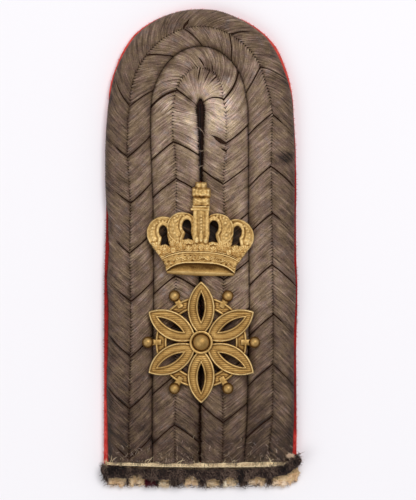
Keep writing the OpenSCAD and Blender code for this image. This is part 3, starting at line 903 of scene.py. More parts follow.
def crown_outline(x, y, hole_in, hole_out):
    """Distances to the whole outline, uneven as cast, to both arches, the collar and the knot above it."""
    ax = np.abs(x)
    xs = x - shaft_x
    base = polygon(x, y, CROWN_SIDE + [(-cx, cy) for cx, cy in reversed(CROWN_SIDE)])
    arch_out = disc(ax, y, *OUTER_ARCH)
    arch_in = disc(ax, y, *INNER_ARCH)
    shaft = block(xs, y, -shaft_half, shaft_half, 9, 17.2)
    body = np.minimum.reduce([base, arch_out, arch_in, shaft])
    body = np.maximum.reduce([body, -np.minimum(hole_in, hole_out), x * x / 260 - y])
    collar = np.minimum(block(xs, y, -2.3, 2.15, 16.5, 17.95), disc(xs, y, -2.35, 16.9, 0.4))
    orb = block(xs, y, -1.7, 1.75, 18.2, 19.6) - 0.45
    cross = block(xs, y, -1.85, 1.95, 20.4, 22.0) - 0.5
    top_arm = block(xs, y, -1.2, 1.15, 22, 23.55) - 0.35
    knot = np.minimum.reduce([orb, cross, top_arm])
    whole = np.minimum.reduce([body, collar, knot])
    return whole + 0.05 * lumps(x, y, 1.3, 9), arch_in, arch_out, collar, knot


def crown_arches(h, x, y, arch_in, arch_out, hole_in, hole_out):
    """The arches: a thin rim, a row of pearls, a groove and a smooth band round each opening."""
    ax = np.abs(x)
    beside = smooth(8.6, 9.2, ax + 0.3 * (y - 11))
    body = outer_arch_h + 0.12 * smooth(0, 1.6, -arch_out) + ridge(arch_out + 0.2, 0.2, 0.12)
    body -= plateau(arch_out + 0.62, 0.16, 0.06)
    body += (plateau(hole_out - 0.42, 0.42, 0.2) - plateau(hole_out - 1.08, 0.2, 0.14)) * beside
    h = np.where(arch_out < 0, body, h)
    row = arc_points(OUTER_ARCH, 3.2, -50, 128, pearl_pitch)
    h = with_pearls(h, ax, y, row, pearl_r, outer_arch_h + 0.06, 0.15)
    beside = smooth(3.1, 3.8, ax + 0.5 * (y - INNER_ARCH[1]))
    body = inner_arch_h + 0.12 * smooth(0, 1.2, -arch_in) + ridge(arch_in + 0.18, 0.18, 0.16)
    body += (plateau(hole_in - 0.45, 0.43, 0.2) - plateau(hole_in - 1.02, 0.15, 0.14)) * beside
    turn = np.degrees(np.arctan2(y - INNER_ARCH[1], ax - INNER_ARCH[0]))
    rung = plateau(arch_in + 0.55, 0.26, 0.1) * (turn < 45) * np.cos(np.radians(turn) * 4 * 2 * np.pi / 0.42)
    h = np.where((arch_in < 0) & (y > 8.2), body + rung + 0.06 * lumps(x, y, 0.7, 17), h)
    row = arc_points(INNER_ARCH, 3.25, 50, 124, pearl_pitch)
    h = with_pearls(h, ax, y, row, pearl_r, inner_arch_h + 0.1, 0.15)
    row = arc_points(INNER_ARCH, 2.5, -58, 42, 0.9)
    return with_pearls(h, ax, y, row, 0.44, inner_arch_h + 0.06, 0.25)


def crown_shaft(h, x, y):
    """The shaft with a smooth band on both sides, its column of pearls and the leaf at its foot."""
    xs = x - shaft_x
    axs = np.abs(xs)
    half_w = shaft_half + 0.35 * smooth(10.8, 8.9, y)
    body = shaft_h + plateau(axs - half_w + 0.6, 0.4, 0.12) + 0.1 * smooth(0.75, 0, axs)
    body -= plateau(axs - 0.86, 0.14, 0.08) + 0.4 * smooth(leaf_foot + 1, leaf_foot, y)
    h = np.where((axs < half_w) & (y > leaf_foot) & (y < 16.9), body, h)
    column = [(shaft_x, v) for v in np.arange(11.3, 15.6, 0.77)]
    h = with_pearls(h, x, y, column, pearl_r, shaft_h + 0.14, 0.08)
    foot = blended(xs, y, SHAFT_LEAVES, 12.0)
    return np.where(foot > 0.02, np.maximum(h, shaft_h - 0.08 + foot), h)


def crown_leaves(h, x, y, top_line):
    """The crowded leaves between the circlet and the arches."""
    ax = np.abs(x - 0.15)
    nearest = np.full(x.shape, 1.25)
    leaves = np.zeros(x.shape)
    for cx, cy, r, rays in FOLIAGE:
        share = np.hypot(ax - cx, y - cy) / r
        turn = np.arctan2(ax - cx, y - cy + 0.5 * r)
        lines = np.cos(rays * 2 * turn) if rays else np.cos(share * r * 2 * np.pi / 0.5)
        lump = 0.36 * np.sqrt(np.clip(1.25 - share**2, 0, None)) + 0.12 * lines * smooth(0.05, 0.3, share)
        leaves = np.where(share < nearest, lump, leaves)
        nearest = np.minimum(nearest, share)
    zone = (y > top_line) & (y < 9.35 - x * x / 110)
    veins = 0.1 * (1 - np.abs(lumps(x, y, 0.55, 12)))
    return np.where(zone, np.maximum(h, leaf_h + leaves + veins), h)


def crown_circlet(h, x, y, top_line, lip):
    """The band with its scroll between rims, the hollow below its lip and the rim across the foot."""
    t = (y - lip) / np.maximum(top_line - lip, 0.5)
    rise = y - lip
    body = circlet_h + 0.15 * np.sqrt(np.clip(1 - (2 * t - 1) ** 2, 0, 1))
    body += 0.05 * (1 - np.abs(lumps(x, y, 0.5, 14)))
    body -= 0.25 * smooth(0.4, 1.1, lumps(x, y, 0.75, 15))
    # A wavy line with a curl in each bow, and a flower after every second wave
    wave_l = 2.9
    wave = 2 * np.pi / wave_l
    scroll = ridge(rise - 1.05 - 0.34 * np.sin(x * wave), 0.18, 0.28)
    curl_x = (x - 0.72) % (wave_l / 2) - wave_l / 4
    curl_y = rise - 1.05 + 0.3 * np.sign(np.sin((x - 0.72) * wave))
    curls = ridge(np.hypot(curl_x, curl_y) - 0.28, 0.15, 0.26)
    flower_r = 0.75
    flower = np.hypot((x + 1.4 + wave_l) % (2 * wave_l) - wave_l, rise - 1.1)
    petals = 0.12 + 0.14 * np.cos(flower * 2 * np.pi / 0.48)
    pattern = np.where(flower < flower_r, petals, np.maximum(scroll, curls))
    h = np.where((t > 0) & (t < 1), body + pattern, h)
    for above, half, height in ((0, 0.2, 0.3), (-0.5, 0.13, 0.16), (0.45, 0.12, 0.16)):
        rim = ridge(y - top_line - above, half, height)
        h = np.where(rim > 0, np.maximum(h, circlet_h + 0.12 + rim), h)
    foot = 1.0
    fall = np.clip((y - foot) / np.maximum(lip - foot, 0.2), 0, 1)
    hollow = hollow_h + 0.75 * fall**2 + 0.3 * (1 - fall) ** 3
    h = np.where((t < 0) & (np.abs(x) < 8.6), hollow, h)
    h = np.where(np.abs(rise) < 0.2, circlet_h + 0.1 + ridge(rise, 0.2, 0.28), h)
    return np.where(y < foot, foot_h - 0.6 * np.clip(foot - y, 0, 1.2) ** 1.6, h)


def crown_top(h, x, y, collar, knot):
    """The collar, the orb and the cross, worn to one uneven knot with shallow waists."""
    xs = x - shaft_x
    lines = ridge(y - 17.65, 0.2, 0.3) + ridge(y - 16.83, 0.17, 0.18)
    h = np.where(collar < 0, collar_h + lines, h)
    crowned = np.maximum(smooth(0, 0.8, -knot), 0.85 * smooth(18.7, 18.2, y))
    waist = hill(y, 20.1, 0.25, 0.22) + hill(y, 22.3, 0.22, 0.16)
    rings = 0.05 * np.cos(2 * np.pi * np.hypot(xs - 0.3, y - 21.2) / 0.8)
    body = knot_h + 0.4 * crowned + blended(xs, y, KNOBS, 8.0) - waist + rings
    return np.where(knot < 0, body + 0.1 * lumps(x, y, 0.8, 31), h)


def crown_relief(x, y):
    """The crown's outline distance, its height above its back and its shade: painted shade that darkens its
    hollow under the lip, less a painted highlight that lightens its leaves.
    """
    y = y + 0.035 * x
    hole_in, hole_out = crown_holes(x, y)
    outline, arch_in, arch_out, collar, knot = crown_outline(x, y, hole_in, hole_out)
    top_line = 5.95 - (np.abs(x) / 7.75) ** 3
    lip = 3.4 - (np.abs(x) / 6.9) ** 3.6
    in_hollow = smooth(0.1, -0.1, y - lip) * smooth(-8.9, -8.4, -np.abs(x))
    h = np.full(x.shape, 2.0)
    h = crown_arches(h, x, y, arch_in, arch_out, hole_in, hole_out)
    h = crown_shaft(h, x, y)
    h = crown_leaves(h, x, y, top_line)
    h = crown_circlet(h, x, y, top_line, lip)
    h = crown_top(h, x, y, collar, knot)
    cast = 0.05 * lumps(x, y, 0.9, 5) + 0.025 * lumps(x, y, 0.4, 6)
    among_leaves = smooth(0, 0.3, y - top_line) * smooth(9.6, 9.2, y)
    # shade is painted into the brass colour: painted shade in the upper hollow under the lip, and a painted
    # highlight among the leaves, whose steep relief reflects too little light
    shade = in_hollow * smooth(0.6, 2.4, y) * 0.36 - 0.1 * among_leaves + 0.02
    return outline, h + cast * (1 - 0.6 * in_hollow), shade


def make_crown(material):
    """The cast crown."""
    x, y = mesh_grid(-14, 14, -0.3, 24.4, crown_step)
    outline, h, shade = crown_relief(x, y)
    make_casting("crown", "crown_casting", material, crown_at, crown_pins, (x, y, outline, h), 0.3, 5, shade)


# The ornament, a rosette of six pierced leaves over a ring

ornament_at = (0.3, base_y + 36.9)
ornament_t = 1.5
ornament_step = 0.122
rim_h = 0.35
rim_half = 0.23
# Where each leaf and its slot start and stop along their axis, and half their width
leaf_span = (1.6, 15.5, 3.45)
slot_span = (5.4, 12.6, 0.85)
hatch_pitch = 0.5
hatch_depth = 0.09
ring_r = 10.2
ring_half = 1.45
ball_x = 13.6
ball_r = 1.45
boss_r = 3
ornament_pins = [(-ring_r, 0), (ring_r, 0)]


def lens(x, y, start, stop, half_w):
    """Distance to a pointed leaf between two tips on the +X axis."""
    span = (stop - start) / 2
    r = (span * span + half_w * half_w) / (2 * half_w)
    mid = start + span
    return np.maximum(disc(x, y, mid, half_w - r, r), disc(x, y, mid, r - half_w, r))


def sixth_xy(x, y, turned):
    """A point turned back by sixths of a circle, to the one that has the +X axis in its middle."""
    sixth = np.pi / 3
    angle = (np.arctan2(y, x) + turned + sixth / 2) % sixth - sixth / 2
    rho = np.hypot(x, y)
    return rho * np.cos(angle), rho * np.sin(angle)


def rosette_relief(x, y):
    """The ornament's outline distance and its height above its back."""
    rho = np.hypot(x, y)
    lx, ly = sixth_xy(x, y, np.pi / 2)
    bx, by = sixth_xy(x, y, 0)
    leaf = lens(lx, ly, *leaf_span)
    slot = lens(lx, ly, *slot_span)
    ring = np.abs(rho - ring_r) - ring_half
    ball = disc(bx, by, ball_x, 0, ball_r)
    bar = block(bx, by, ring_r, ball_x, -0.8, 0.8)
    boss = rho - boss_r
    outline = np.maximum(np.minimum(leaf, ring), -slot)
    outline = np.minimum.reduce([outline, ball, bar, boss])

    hatching = hatch_depth * (0.5 + 0.5 * np.cos(2 * np.pi * y / hatch_pitch)) ** 2
    low = ornament_t - 0.4
    h = low + ridge(-ring - 0.3, 0.3, rim_h + 0.05) - hatching * smooth(0.55, 0.75, -ring)
    h = np.where(bar < 0, np.maximum(h, low + 0.1 + ridge(by, 0.8, 0.3)), h)
    on_ball = np.sqrt(np.clip(1.2**2 - (bx - ball_x) ** 2 - by**2, 0, None))
    h = np.where(ball < 0, low + on_ball + ridge(-ball - 0.15, 0.15, 0.12), h)
    flat = smooth(0.5, 0.7, -leaf) * smooth(0.5, 0.7, slot)
    rims = np.maximum(ridge(-leaf - rim_half, rim_half, rim_h), ridge(slot - rim_half, rim_half, rim_h))
    crowned = 0.12 * smooth(0, 2.2, np.minimum(-leaf, slot))
    h = np.where(leaf < 0, ornament_t + rims + crowned - hatching * flat, h)
    dome = ornament_t - 0.6 + np.sqrt(np.clip(2.3**2 - rho**2, 0, None))
    collar = ornament_t + rim_h + ridge(rho - 2.7, 0.3, 0.15)
    return outline, np.where(boss < 0, np.where(rho < 2.25, np.maximum(dome, 1.6), collar), h)


def make_ornament(material):
    """The pierced rosette."""
    x, y = mesh_grid(-16, 16, -16, 16, ornament_step)
    heights = (x, y, *rosette_relief(x, y))
    make_casting("ornament", "rosette_casting", material, ornament_at, ornament_pins, heights, 0.16, 4)


# The felt base


def felt_outline():
    """The felt's outline as corners, square at the sewn end."""
    side, bend = 30, 120
    p = np.concatenate([np.linspace(0, 1, side), np.linspace(1, 2, bend)[1:], np.linspace(2, 3, side)[1:]])
    px, py = curve_xy(felt_curve, p)
    px[[0, -1]] = [-felt_curve.end, felt_curve.end]
    py[[0, -1]] = felt_end_y
    return list(zip(px, py))


def margin_tone(x, y):
    """How much paler the felt's margin is: paler at the button end, darker on the right, where shade from the
    braid is painted, and darker mid left.
    """
    # shaded_right is painted shade: the braid's height shades the felt's right margin
    shaded_right = smooth(0, 20, x) * smooth(-48.5, -45, y) * smooth(34, 10, y)
    dull_left = smooth(0, -20, x) * smooth(-40, -20, y) * smooth(40, 20, y)
    return 0.35 * smooth(20, 48, y) - 0.55 * shaded_right - 0.6 * dull_left


def felt_sheet(heap):
    """The felt's body with its slit, uneven and soft along its edges."""
    step = 0.8
    x, y = mesh_grid(-edge_x - 1, edge_x + 1, felt_end_y - 1, top_y + 1, step)
    slot_x = (binding_low[0] + binding_high[0]) / 2
    slot_r = (binding_high[0] - binding_low[0]) / 2 + gap
    low, high = binding_low[1] + slot_r - gap, binding_high[1] - slot_r + gap
    slot = np.hypot(x - slot_x, y - np.clip(y, low, high)) - slot_r
    outline = np.maximum(polygon(x, y, felt_outline()), -slot)
    cloudy = lumps(x, y, 5, 3)
    fine = lumps(x, y, 1.4, 4)
    edge = np.exp(np.clip(outline, -9, 0) / 0.5)
    top = felt_top - 0.03 + 0.015 * fine - 0.12 * edge
    back = 0.08 + 0.02 * cloudy + 0.02 * fine + 0.12 * edge
    tone = 0.35 + 0.17 * fine + margin_tone(x, y) * smooth(-3, -1.5, outline)
    relief(heap, x, y, outline, top, back, [0, 0, 0], tone=tone)


def felt_fuzz(heap):
    """Fibres that stand out of the felt's cut edge, and some that lie on its back."""
    p = rng.random(2600) * 3
    # The braid hides the felt's edge on the upper left
    p = p[(p < 0.7) | (p > 1.08)]
    count = len(p)
    x, y = curve_xy(felt_curve, p)
    ahead_x, ahead_y = curve_xy(felt_curve, np.clip(p + 0.01, 0, 3))
    back_x, back_y = curve_xy(felt_curve, np.clip(p - 0.01, 0, 3))
    out = unit(xyz(back_y - ahead_y, ahead_x - back_x, 0))
    roots = xyz(x, y, rng.uniform(0.25, felt_top - 0.15, count)) - out * 0.25
    heading = out * 0.8 + rng.normal(0, 0.7, (count, 3))
    fibres(heap, roots, heading, rng.uniform(0.4, 0.8, count), 0.6, rng.uniform(0.03, 0.05, count), steps=4,
           tone=rng.normal(0.45, 0.3, count) + margin_tone(x, y))
    count = 420
    x = rng.uniform(-edge_x + 1.5, edge_x - 1.5, count)
    y = rng.uniform(felt_end_y + 1, top_y - 12, count)
    heading = xyz(rng.normal(0, 1, count), rng.normal(0, 1, count), 0)
    fibres(heap, xyz(x, y, 0.11), heading, rng.uniform(0.8, 2, count), 0.5, 0.035, lowest=0.07,
           tone=rng.normal(0.5, 0.3, count))


def make_felt(material):
    """The felt base, one sheet that lies flat."""
    heap = Heap("tone")
    felt_sheet(heap)
    felt_fuzz(heap)
    piece = heap.build("felt_body", material, "felt_base", sharp=70)


def make_binding(material):
    """Buttonhole stitches round the slit, over the ring of thread that they bind."""
    cx = (binding_low[0] + binding_high[0]) / 2
    half = (binding_high[0] - binding_low[0]) / 2
    low, high = binding_low[1] + half, binding_high[1] - half
    height = binding_high[2]
    straight = high - low
    side_l = straight + math.pi * half
    total = 2 * side_l
    cut = 0.08
    stitch_pitch = 0.4
    heap = Heap("tone", "along")

    def ring(d, radius, z):
        """Points at distances round the slit, up its right side and down its left."""
        turn = np.clip((d - straight) / half, 0, np.pi) + np.clip((d - side_l - straight) / half, 0, np.pi)
        y = low + np.clip(d, 0, straight) - np.clip(d - side_l, 0, straight)
        return xyz(cx + radius * np.cos(turn), y + radius * np.sin(turn), z)

    section = [(half - 0.04, 0.25), (half - 0.02, height - 0.25), (half - 0.2, height - 0.08),
               (half - 0.5, height - 0.08), (cut + 0.08, height - 0.3), (cut + 0.06, height / 2),
               (cut + 0.08, 0.3), (half - 0.5, 0.19), (half - 0.2, 0.19)]
    count = int(total / stitch_pitch)
    d = np.arange(count) * total / count
    paths = np.stack([ring(d, radius, z) for radius, z in section], 1)
    paths += wander(count, len(section), 0.02)
    tubes(heap, paths, 0.17, 0.1, tone=rng.random(count), along=np.linspace(0, 6, len(section))[None])
    d = np.linspace(0, total - 0.01, 90)
    radii = (half - 0.3, (half + cut) / 2, cut + 0.24)
    levels = (0.35, height / 2, height - 0.38)
    tubes(heap, [ring(d, radius, z) for radius in radii for z in levels], 0.27, sides=8, tone=0.1)
    # A fan of longer stitches at the top of the slit, on the felt
    spread = np.radians(np.linspace(8, 172, 15))[:, None]
    reach = np.array([0.9, 1.5, 1.9]) * half + rng.uniform(0, 0.25, (len(spread), 1))
    fan_x = cx + np.cos(spread) * np.minimum(reach, half + 0.12)
    fan = xyz(fan_x, high + np.sin(spread) * reach, felt_top + 0.04)
    tubes(heap, fan, 0.15, 0.08, tone=rng.uniform(0, 0.6, len(spread)))
    heap.build("slit_stitching", material, "buttonhole_binding")


# The sewn end

# The wool's middle line above the lower edge, and its half sizes
WOOL = [(-25, 4.9, 0.5, 0.5), (-24.5, 4.2, 1.4, 1.1), (-23.2, 3.7, 1.6, 1.3), (-20, 3.5, 1.5, 1.4),
        (-10, 3.1, 1.5, 1.5), (0, 3.0, 1.5, 1.5), (10, 3.1, 1.5, 1.5), (18, 3.6, 1.5, 1.5),
        (21.8, 4.4, 1.5, 1.4), (23.6, 5.8, 1.65, 1.4), (24.6, 6.8, 1.6, 1.3), (25.4, 7.5, 1.2, 1.1)]
# Tufts of felt between the wool: middle, half width, how far up they show and how orange they are
TUFTS = [(-21.3, 2.2, 2.4, 0.12), (-16.2, 2.3, 3.7, 0.05), (-9.4, 1.6, 1.7, 0), (-2.3, 2.0, 3.2, 0.1),
         (3.3, 1.9, 2.1, 0), (7.6, 1.9, 2.6, 0), (14.6, 2.2, 2.6, 0.1), (20.2, 2.0, 1.9, 0.15),
         (23.7, 1.4, 3.8, 0.16)]
# Dark locks that hang between the tufts: middle and width
LOCKS = [(-24.1, 0.6), (-18.5, 0.3), (-11, 0.4), (-6, 1.8), (0.6, 0.9), (5.4, 0.3), (10.9, 1.4), (17.6, 0.9)]
# Where threads of the tape stand up over the braid
PULLED = [-22.9, -22.4, -14.0, -13.4, -10.2, -6, -5.2, -3.1, -2.4, -1.2, 5.8, 9, 17.6, 18.2]


def tape_weave(heap, left, right, top):
    """Warp yarns along the tape, the weft that wraps over them and a plain core under both."""
    weft_pitch = 0.5
    weave_h = 0.05
    steps = 150
    x = np.linspace(left, right - 0.2, steps)
    half = tape_half(x)
    # Yarns by their share of the half width and how far they lie from the top
    lanes = [(-1, -0.5), (-0.92, -0.22), (-0.54, -0.1), (0, -0.07), (0.54, -0.1), (0.92, -0.22), (1, -0.5),
             (-1, -0.85), (1, -0.85), (-1, -1.25), (1, -1.25), (-0.96, -1.7), (0.96, -1.7)]
    paths = []
    for k, (across, down) in enumerate(lanes):
        wave = weave_h * np.cos(np.pi * x / weft_pitch + np.pi * (k % 2))
        loose = np.cumsum(rng.normal(0, 0.01, steps))
        side = across * half + loose + wave * np.sign(across) * (down < -0.3)
        paths.append(xyz(x, tape_y(x) + side, top + down + wave * (down > -0.3)))
    tubes(heap, paths, 0.06 + 0.2 * half, 0.13, sides=6, tone=rng.normal(0.5, 0.25, len(lanes)),
          along=x[None])
    wefts = np.arange(left + 0.3, right - 0.4, weft_pitch)
    wefts = wefts[rng.random(len(wefts)) < 0.8]
    section = [(-1.04, -2.1), (-1.15, -1.2), (-1.12, -0.45), (-0.8, -0.12), (0, -0.02), (0.8, -0.12),
               (1.12, -0.45), (1.15, -1.2), (1.04, -2.1)]
    rows = []
    for k, (across, down) in enumerate(section):
        dip = weave_h * np.cos(np.pi * np.arange(len(wefts)) + np.pi * k)
        rows.append(xyz(wefts + 0.05 * dip, tape_y(wefts) + across * tape_half(wefts), top + down + dip))
    paths = np.stack(rows, 1) + wander(len(wefts), len(section), 0.03)
    tubes(heap, paths, 0.12, 0.1, tone=rng.normal(0.5, 0.3, len(wefts)),
          along=np.linspace(0, 4, len(section))[None])
    core = [xyz(x, tape_y(x), top - depth) for depth in (0.5, 1.1, 1.75)]
    tubes(heap, core, 0.84 * half, 0.42, sides=8, tone=0.45)


def tape_frays(heap, left, right, top):
    """Frayed threads along the tape's sides and at its ends, and longer ones pulled up over the braid."""
    count = 420
    x = rng.uniform(left, right, count)
    roots = xyz(x, tape_y(x) + rng.choice([-1, 1], count) * tape_half(x), top - 0.3)
    heading = xyz(rng.normal(0, 1.2, count), rng.normal(0.2, 0.8, count), np.abs(rng.normal(0.1, 0.3, count)))
    fibres(heap, roots, heading, rng.uniform(0.4, 1.6, count), 0.5, 0.03, steps=6, tone=rng.random(count))
    for end, way, count in ((left, -0.2, 30), (right - 0.3, 1, 40)):
        roots = xyz(end, tape_y(end) + rng.uniform(-0.4, 0.4, count), top - rng.uniform(0.1, 1.2, count))
        heading = xyz(way, rng.normal(0.2, 0.35, count), rng.normal(-0.05, 0.2, count))
        fibres(heap, roots, heading, rng.uniform(0.5, 1.3, count), 0.3, 0.05, steps=6, tone=rng.random(count))
    x = np.array(PULLED)
    heading = xyz(rng.normal(0.1, 0.6, len(x)), 0.9, 0.45)
    fibres(heap, xyz(x, tape_y(x) + 0.4, top - 0.1), heading, rng.uniform(1.5, 3.1, len(x)), 0.5, 0.085,
           steps=8, tone=0.9)


def make_tape(material):
    """A narrow cotton tape on edge."""
    heap = Heap("tone", "along")
    left, right, top = tape_low[0] + 0.7, tape_high[0], tape_high[2]
    tape_weave(heap, left, right, top)
    tape_frays(heap, left, right, top)
    heap.build("tape_weave", material, "end_tape")


def blob(heap, centre, size, seed, **values):
    """A closed uneven lump."""
    lumpy = np.random.default_rng(seed)
    rings, sides = 10, 16
    polar = np.linspace(0, np.pi, rings + 2)[1:-1]
    turn = np.linspace(0, 2 * np.pi, sides, endpoint=False)
    a, b = np.meshgrid(polar, turn, indexing="ij")
    ray = xyz(np.cos(a), np.sin(a) * np.cos(b), np.sin(a) * np.sin(b))
    scale = 1 + 0.1 * np.sin(ray[..., 0] * 5 + lumpy.random() * 6)
    scale += 0.1 * np.sin(ray[..., 1] * 6 + lumpy.random() * 6)
    ends = [[1, 0, 0], [-1, 0, 0]]
    points = np.concatenate([(ray * scale[..., None]).reshape(-1, 3), ends]) * size + centre
    points[:, 2] = np.maximum(points[:, 2], 0.05)
    index = np.arange(rings * sides).reshape(rings, sides)
    turned = np.roll(index, -1, axis=1)
    quads = np.stack([index[:-1], index[1:], turned[1:], turned[:-1]], -1).reshape(-1, 4)
    near, far = rings * sides, rings * sides + 1
    caps = [[near, a, b] for a, b in zip(index[0], turned[0])]
    caps += [[far, b, a] for a, b in zip(index[-1], turned[-1])]
    heap.add(points, quads, np.array(caps), **values)


def end_y(x):
    """The strap's lower edge at x, round at both corners and a little lower at the middle."""
    corner_r = np.where(x < 0, 2.3, 4.0)
    corner_x = np.where(x < 0, 24.7, 25.2)
    past = np.clip(np.abs(x) - corner_x + corner_r, 0, corner_r * 0.95)
    return base_y + corner_r - np.sqrt(corner_r * corner_r - past * past) - hill(x, 2, 9, 0.3)


def tuft_top(x):
    """How far up the tufts show at x."""
    up = np.zeros(np.shape(x))
    for cx, half, high, _ in TUFTS:
        up = np.maximum(up, high * np.exp(-(np.abs((x - cx) / half) ** 2.5)))
    return up


def clump(heap, centre, reach, seed, stain):
    """A lump of felt and the fibres that stand out of its top and sides."""
    count = 100
    shade = rng.uniform(-0.35, 0.35)
    blob(heap, centre, reach, seed, tone=0.4 + shade, stain=stain)
    a = rng.uniform(0, 2 * np.pi, count)
    b = np.arccos(rng.uniform(-0.2, 1, count))
    ray = xyz(np.cos(a) * np.sin(b), np.sin(a) * np.sin(b), np.cos(b))
    roots = centre + ray * (reach - [0.05, 0.05, 0.1])
    heading = ray * [0.7, 0.8, 0.2] + [0, -0.2, -0.1] + rng.normal(0, 0.5, (count, 3))
    # Fibres on a clump's lower side get a paler tone: a painted highlight along the tufts' lower edge
    fibres(heap, roots, heading, rng.uniform(0.4, 1.0, count), 0.9, rng.uniform(0.035, 0.065, count), steps=4,
           tone=rng.normal(0.42, 0.32, count) - 0.25 * ray[:, 1] + shade, stain=stain)


def make_tufts(material):
    """Undyed felt along the sewn end, in tufts between the overcast wool."""
    height = tuft_high[2]
    heap = Heap("tone", "stain")
    x = np.linspace(tuft_low[0] + 0.2, tuft_high[0] - 0.3, 60)
    rows = [np.maximum(tuft_high[1] - down, end_y(x) + 1.15) for down in (0.9, 1.7, 2.5, 3.3)]
    tubes(heap, [xyz(x, y, height / 2) for y in rows], 0.85, height / 2 - 0.06, sides=8, tone=0.1)
    seed = 40
    for cx, half, up, stain in TUFTS:
        for across in (-0.5, -0.15, 0.2, 0.5):
            lift = (0.12 - 0.4 * across**2) * up + rng.uniform(-0.2, 0.2)
            reach = np.array([half * rng.uniform(0.4, 0.55), up * rng.uniform(0.32, 0.46), height / 2 - 0.1])
            x = cx + across * half * 1.1
            y = base_y + up / 2 - 0.15 + lift + 0.6 * (end_y(x) - base_y)
            clump(heap, np.array([x, y, height / 2 + 0.05]), reach, seed, stain)
            seed += 1
    # A small pale tuft between the braid and the tape's end
    count = 220
    centre = np.array([23.0, base_y + 7.9, felt_top + 1.9])
    blob(heap, centre, [0.9, 0.5, 0.5], 99, tone=0.6, stain=0.25)
    roots = centre + rng.normal(0, 1, (count, 3)) * [0.5, 0.25, 0.2] + [0, 0, 0.4]
    fibres(heap, roots, rng.normal(0, 1, (count, 3)), rng.uniform(0.3, 0.8, count), 1.2, 0.05, steps=4,
           tone=rng.normal(0.75, 0.4, count), stain=0.25)
    heap.build("felt_tufts", material, "natural_felt")


def wool_line(t):
    """Centre and half sizes of the wool at a share t of its length."""
    table = np.array(WOOL)
    run = np.concatenate([[0], np.cumsum(np.hypot(np.diff(table[:, 0]), np.diff(table[:, 1])))])
    x, y, wide, high = (np.interp(t * run[-1], run, column) for column in table.T)
    return x, base_y + y, wide, high


def wool_side(x, y, wide, turn):
    """How far the wool reaches sideways at an angle round it, less where a tuft shows below it."""
    full = wide * 0.84
    lower = np.clip(y - base_y - tuft_top(x), 0.1, full)
    return np.cos(turn) * np.where(np.cos(turn) < 0, lower, full)


def wool_body(heap):
    """The wool's closed body, bumpy as it is wound."""
    steps, sides = 170, 14
    t = np.linspace(0, 1, steps)[:, None]
    x, y, wide, high = wool_line(t)
    ahead = unit(np.concatenate([np.gradient(x, axis=0), np.gradient(y, axis=0)], 1))
    # Round to the right as seen along the wool, so that its faces point outwards
    turn = np.linspace(2 * np.pi, 0, sides, endpoint=False)
    bumpy = 1 + 0.07 * np.sin(t * 210 + 3 * turn) + 0.05 * np.sin(t * 95 + 5 * turn)
    side = wool_side(x, y, wide, turn) * bumpy
    lift = (1 + np.sin(turn) * 0.84) * high * bumpy
    rings = xyz(x - side * ahead[:, 1:], y + side * ahead[:, :1], felt_top + gap + lift)
    add_rings(heap, rings[None], tone=0.05)


def wool_winding(heap):
    """Matted fibres wound over the wool at a slant, pale in patches."""
    count = 2800
    x, y, wide, high = wool_line(rng.random(count))
    a = rng.uniform(-0.2, np.pi + 0.2, count)
    roots = xyz(x, y + wool_side(x, y, wide, a), felt_top + gap + high * (1 + np.sin(a) * 0.85))
    over_tuft = smooth(0.5, 1.5, tuft_top(x)) * (np.cos(a) < 0)
    heading = xyz(rng.normal(0.35, 0.5, count), -np.sin(a) + 0.3 * np.cos(a), np.cos(a))
    heading *= rng.choice([1, -1], count, p=[0.7, 0.3])[:, None]
    heading[:, 1] = np.where(over_tuft > 0.3, np.abs(heading[:, 1]) * 0.3, heading[:, 1])
    heading[:, 2] += 0.25
    fibres(heap, roots, heading, rng.uniform(1.0, 2.0, count), 0.6, rng.uniform(0.045, 0.08, count),
           tone=np.clip(rng.normal(0.15, 0.65, count) + 0.8 * lumps(x, y, 2.2, 7), -1, 2.2))


def wool_locks(heap):
    """Dark locks that hang between the tufts, with a bundle of wine red yarn among them."""
    for cx, width in LOCKS:
        count = int(170 * width)
        x = cx + rng.normal(0, width * 0.45, count)
        roots = xyz(x, end_y(x) + rng.uniform(1.3, 3.0, count), rng.uniform(1.2, 2.6, count))
        heading = xyz(rng.normal(0, 0.3, count), -1, rng.normal(-0.25, 0.2, count))
        fibres(heap, roots, heading, rng.uniform(1.0, 2.2, count), 0.45, rng.uniform(0.05, 0.08, count),
               tone=np.clip(rng.normal(0.3, 0.25, count), 0, 1))
    count = 260
    x = rng.uniform(-14.0, -11.5, count)
    roots = xyz(x, base_y + rng.uniform(1.0, 2.6, count), rng.uniform(1.2, 2.6, count))
    heading = xyz(rng.normal(0, 0.5, count), -1, rng.normal(-0.2, 0.2, count))
    fibres(heap, roots, heading, rng.uniform(0.9, 2.0, count), 0.5, rng.uniform(0.05, 0.08, count),
           tone=rng.random(count), stain=1)


def wool_ends(heap):
    """Single threads under the tufts' lower edge, and loose ends on the left and round the tail."""
    count = 110
    x = rng.uniform(-24, 24, count)
    roots = xyz(x, end_y(x) + rng.uniform(-0.1, 0.6, count), rng.uniform(0.8, 1.9, count))
    heading = xyz(rng.choice([-1, 1], count), rng.normal(0, 0.3, count), 0)
    fibres(heap, roots, heading, rng.uniform(0.6, 1.8, count), 0.5, rng.uniform(0.05, 0.09, count), steps=6,
           tone=0.2)
    loose = [((-24.4, 4.6, 3), (0.5, 0.7, 0.5), 90), ((24.1, 6.4, 3.2), (1.2, 1.0, 0.8), 330)]
    for (x, y, z), size, count in loose:
        ray = unit(rng.normal(0, 1, (count, 3)))
        roots = ray * size + [x, base_y + y, z]
        heading = ray * [1, 1, 0.3] + rng.normal(0, 0.7, (count, 3))
        fibres(heap, roots, heading, rng.uniform(0.4, 1.4, count), 0.7, rng.uniform(0.04, 0.07, count),
               steps=6, tone=np.clip(rng.normal(0.25, 0.25, count), 0, 1), stain=0.15)


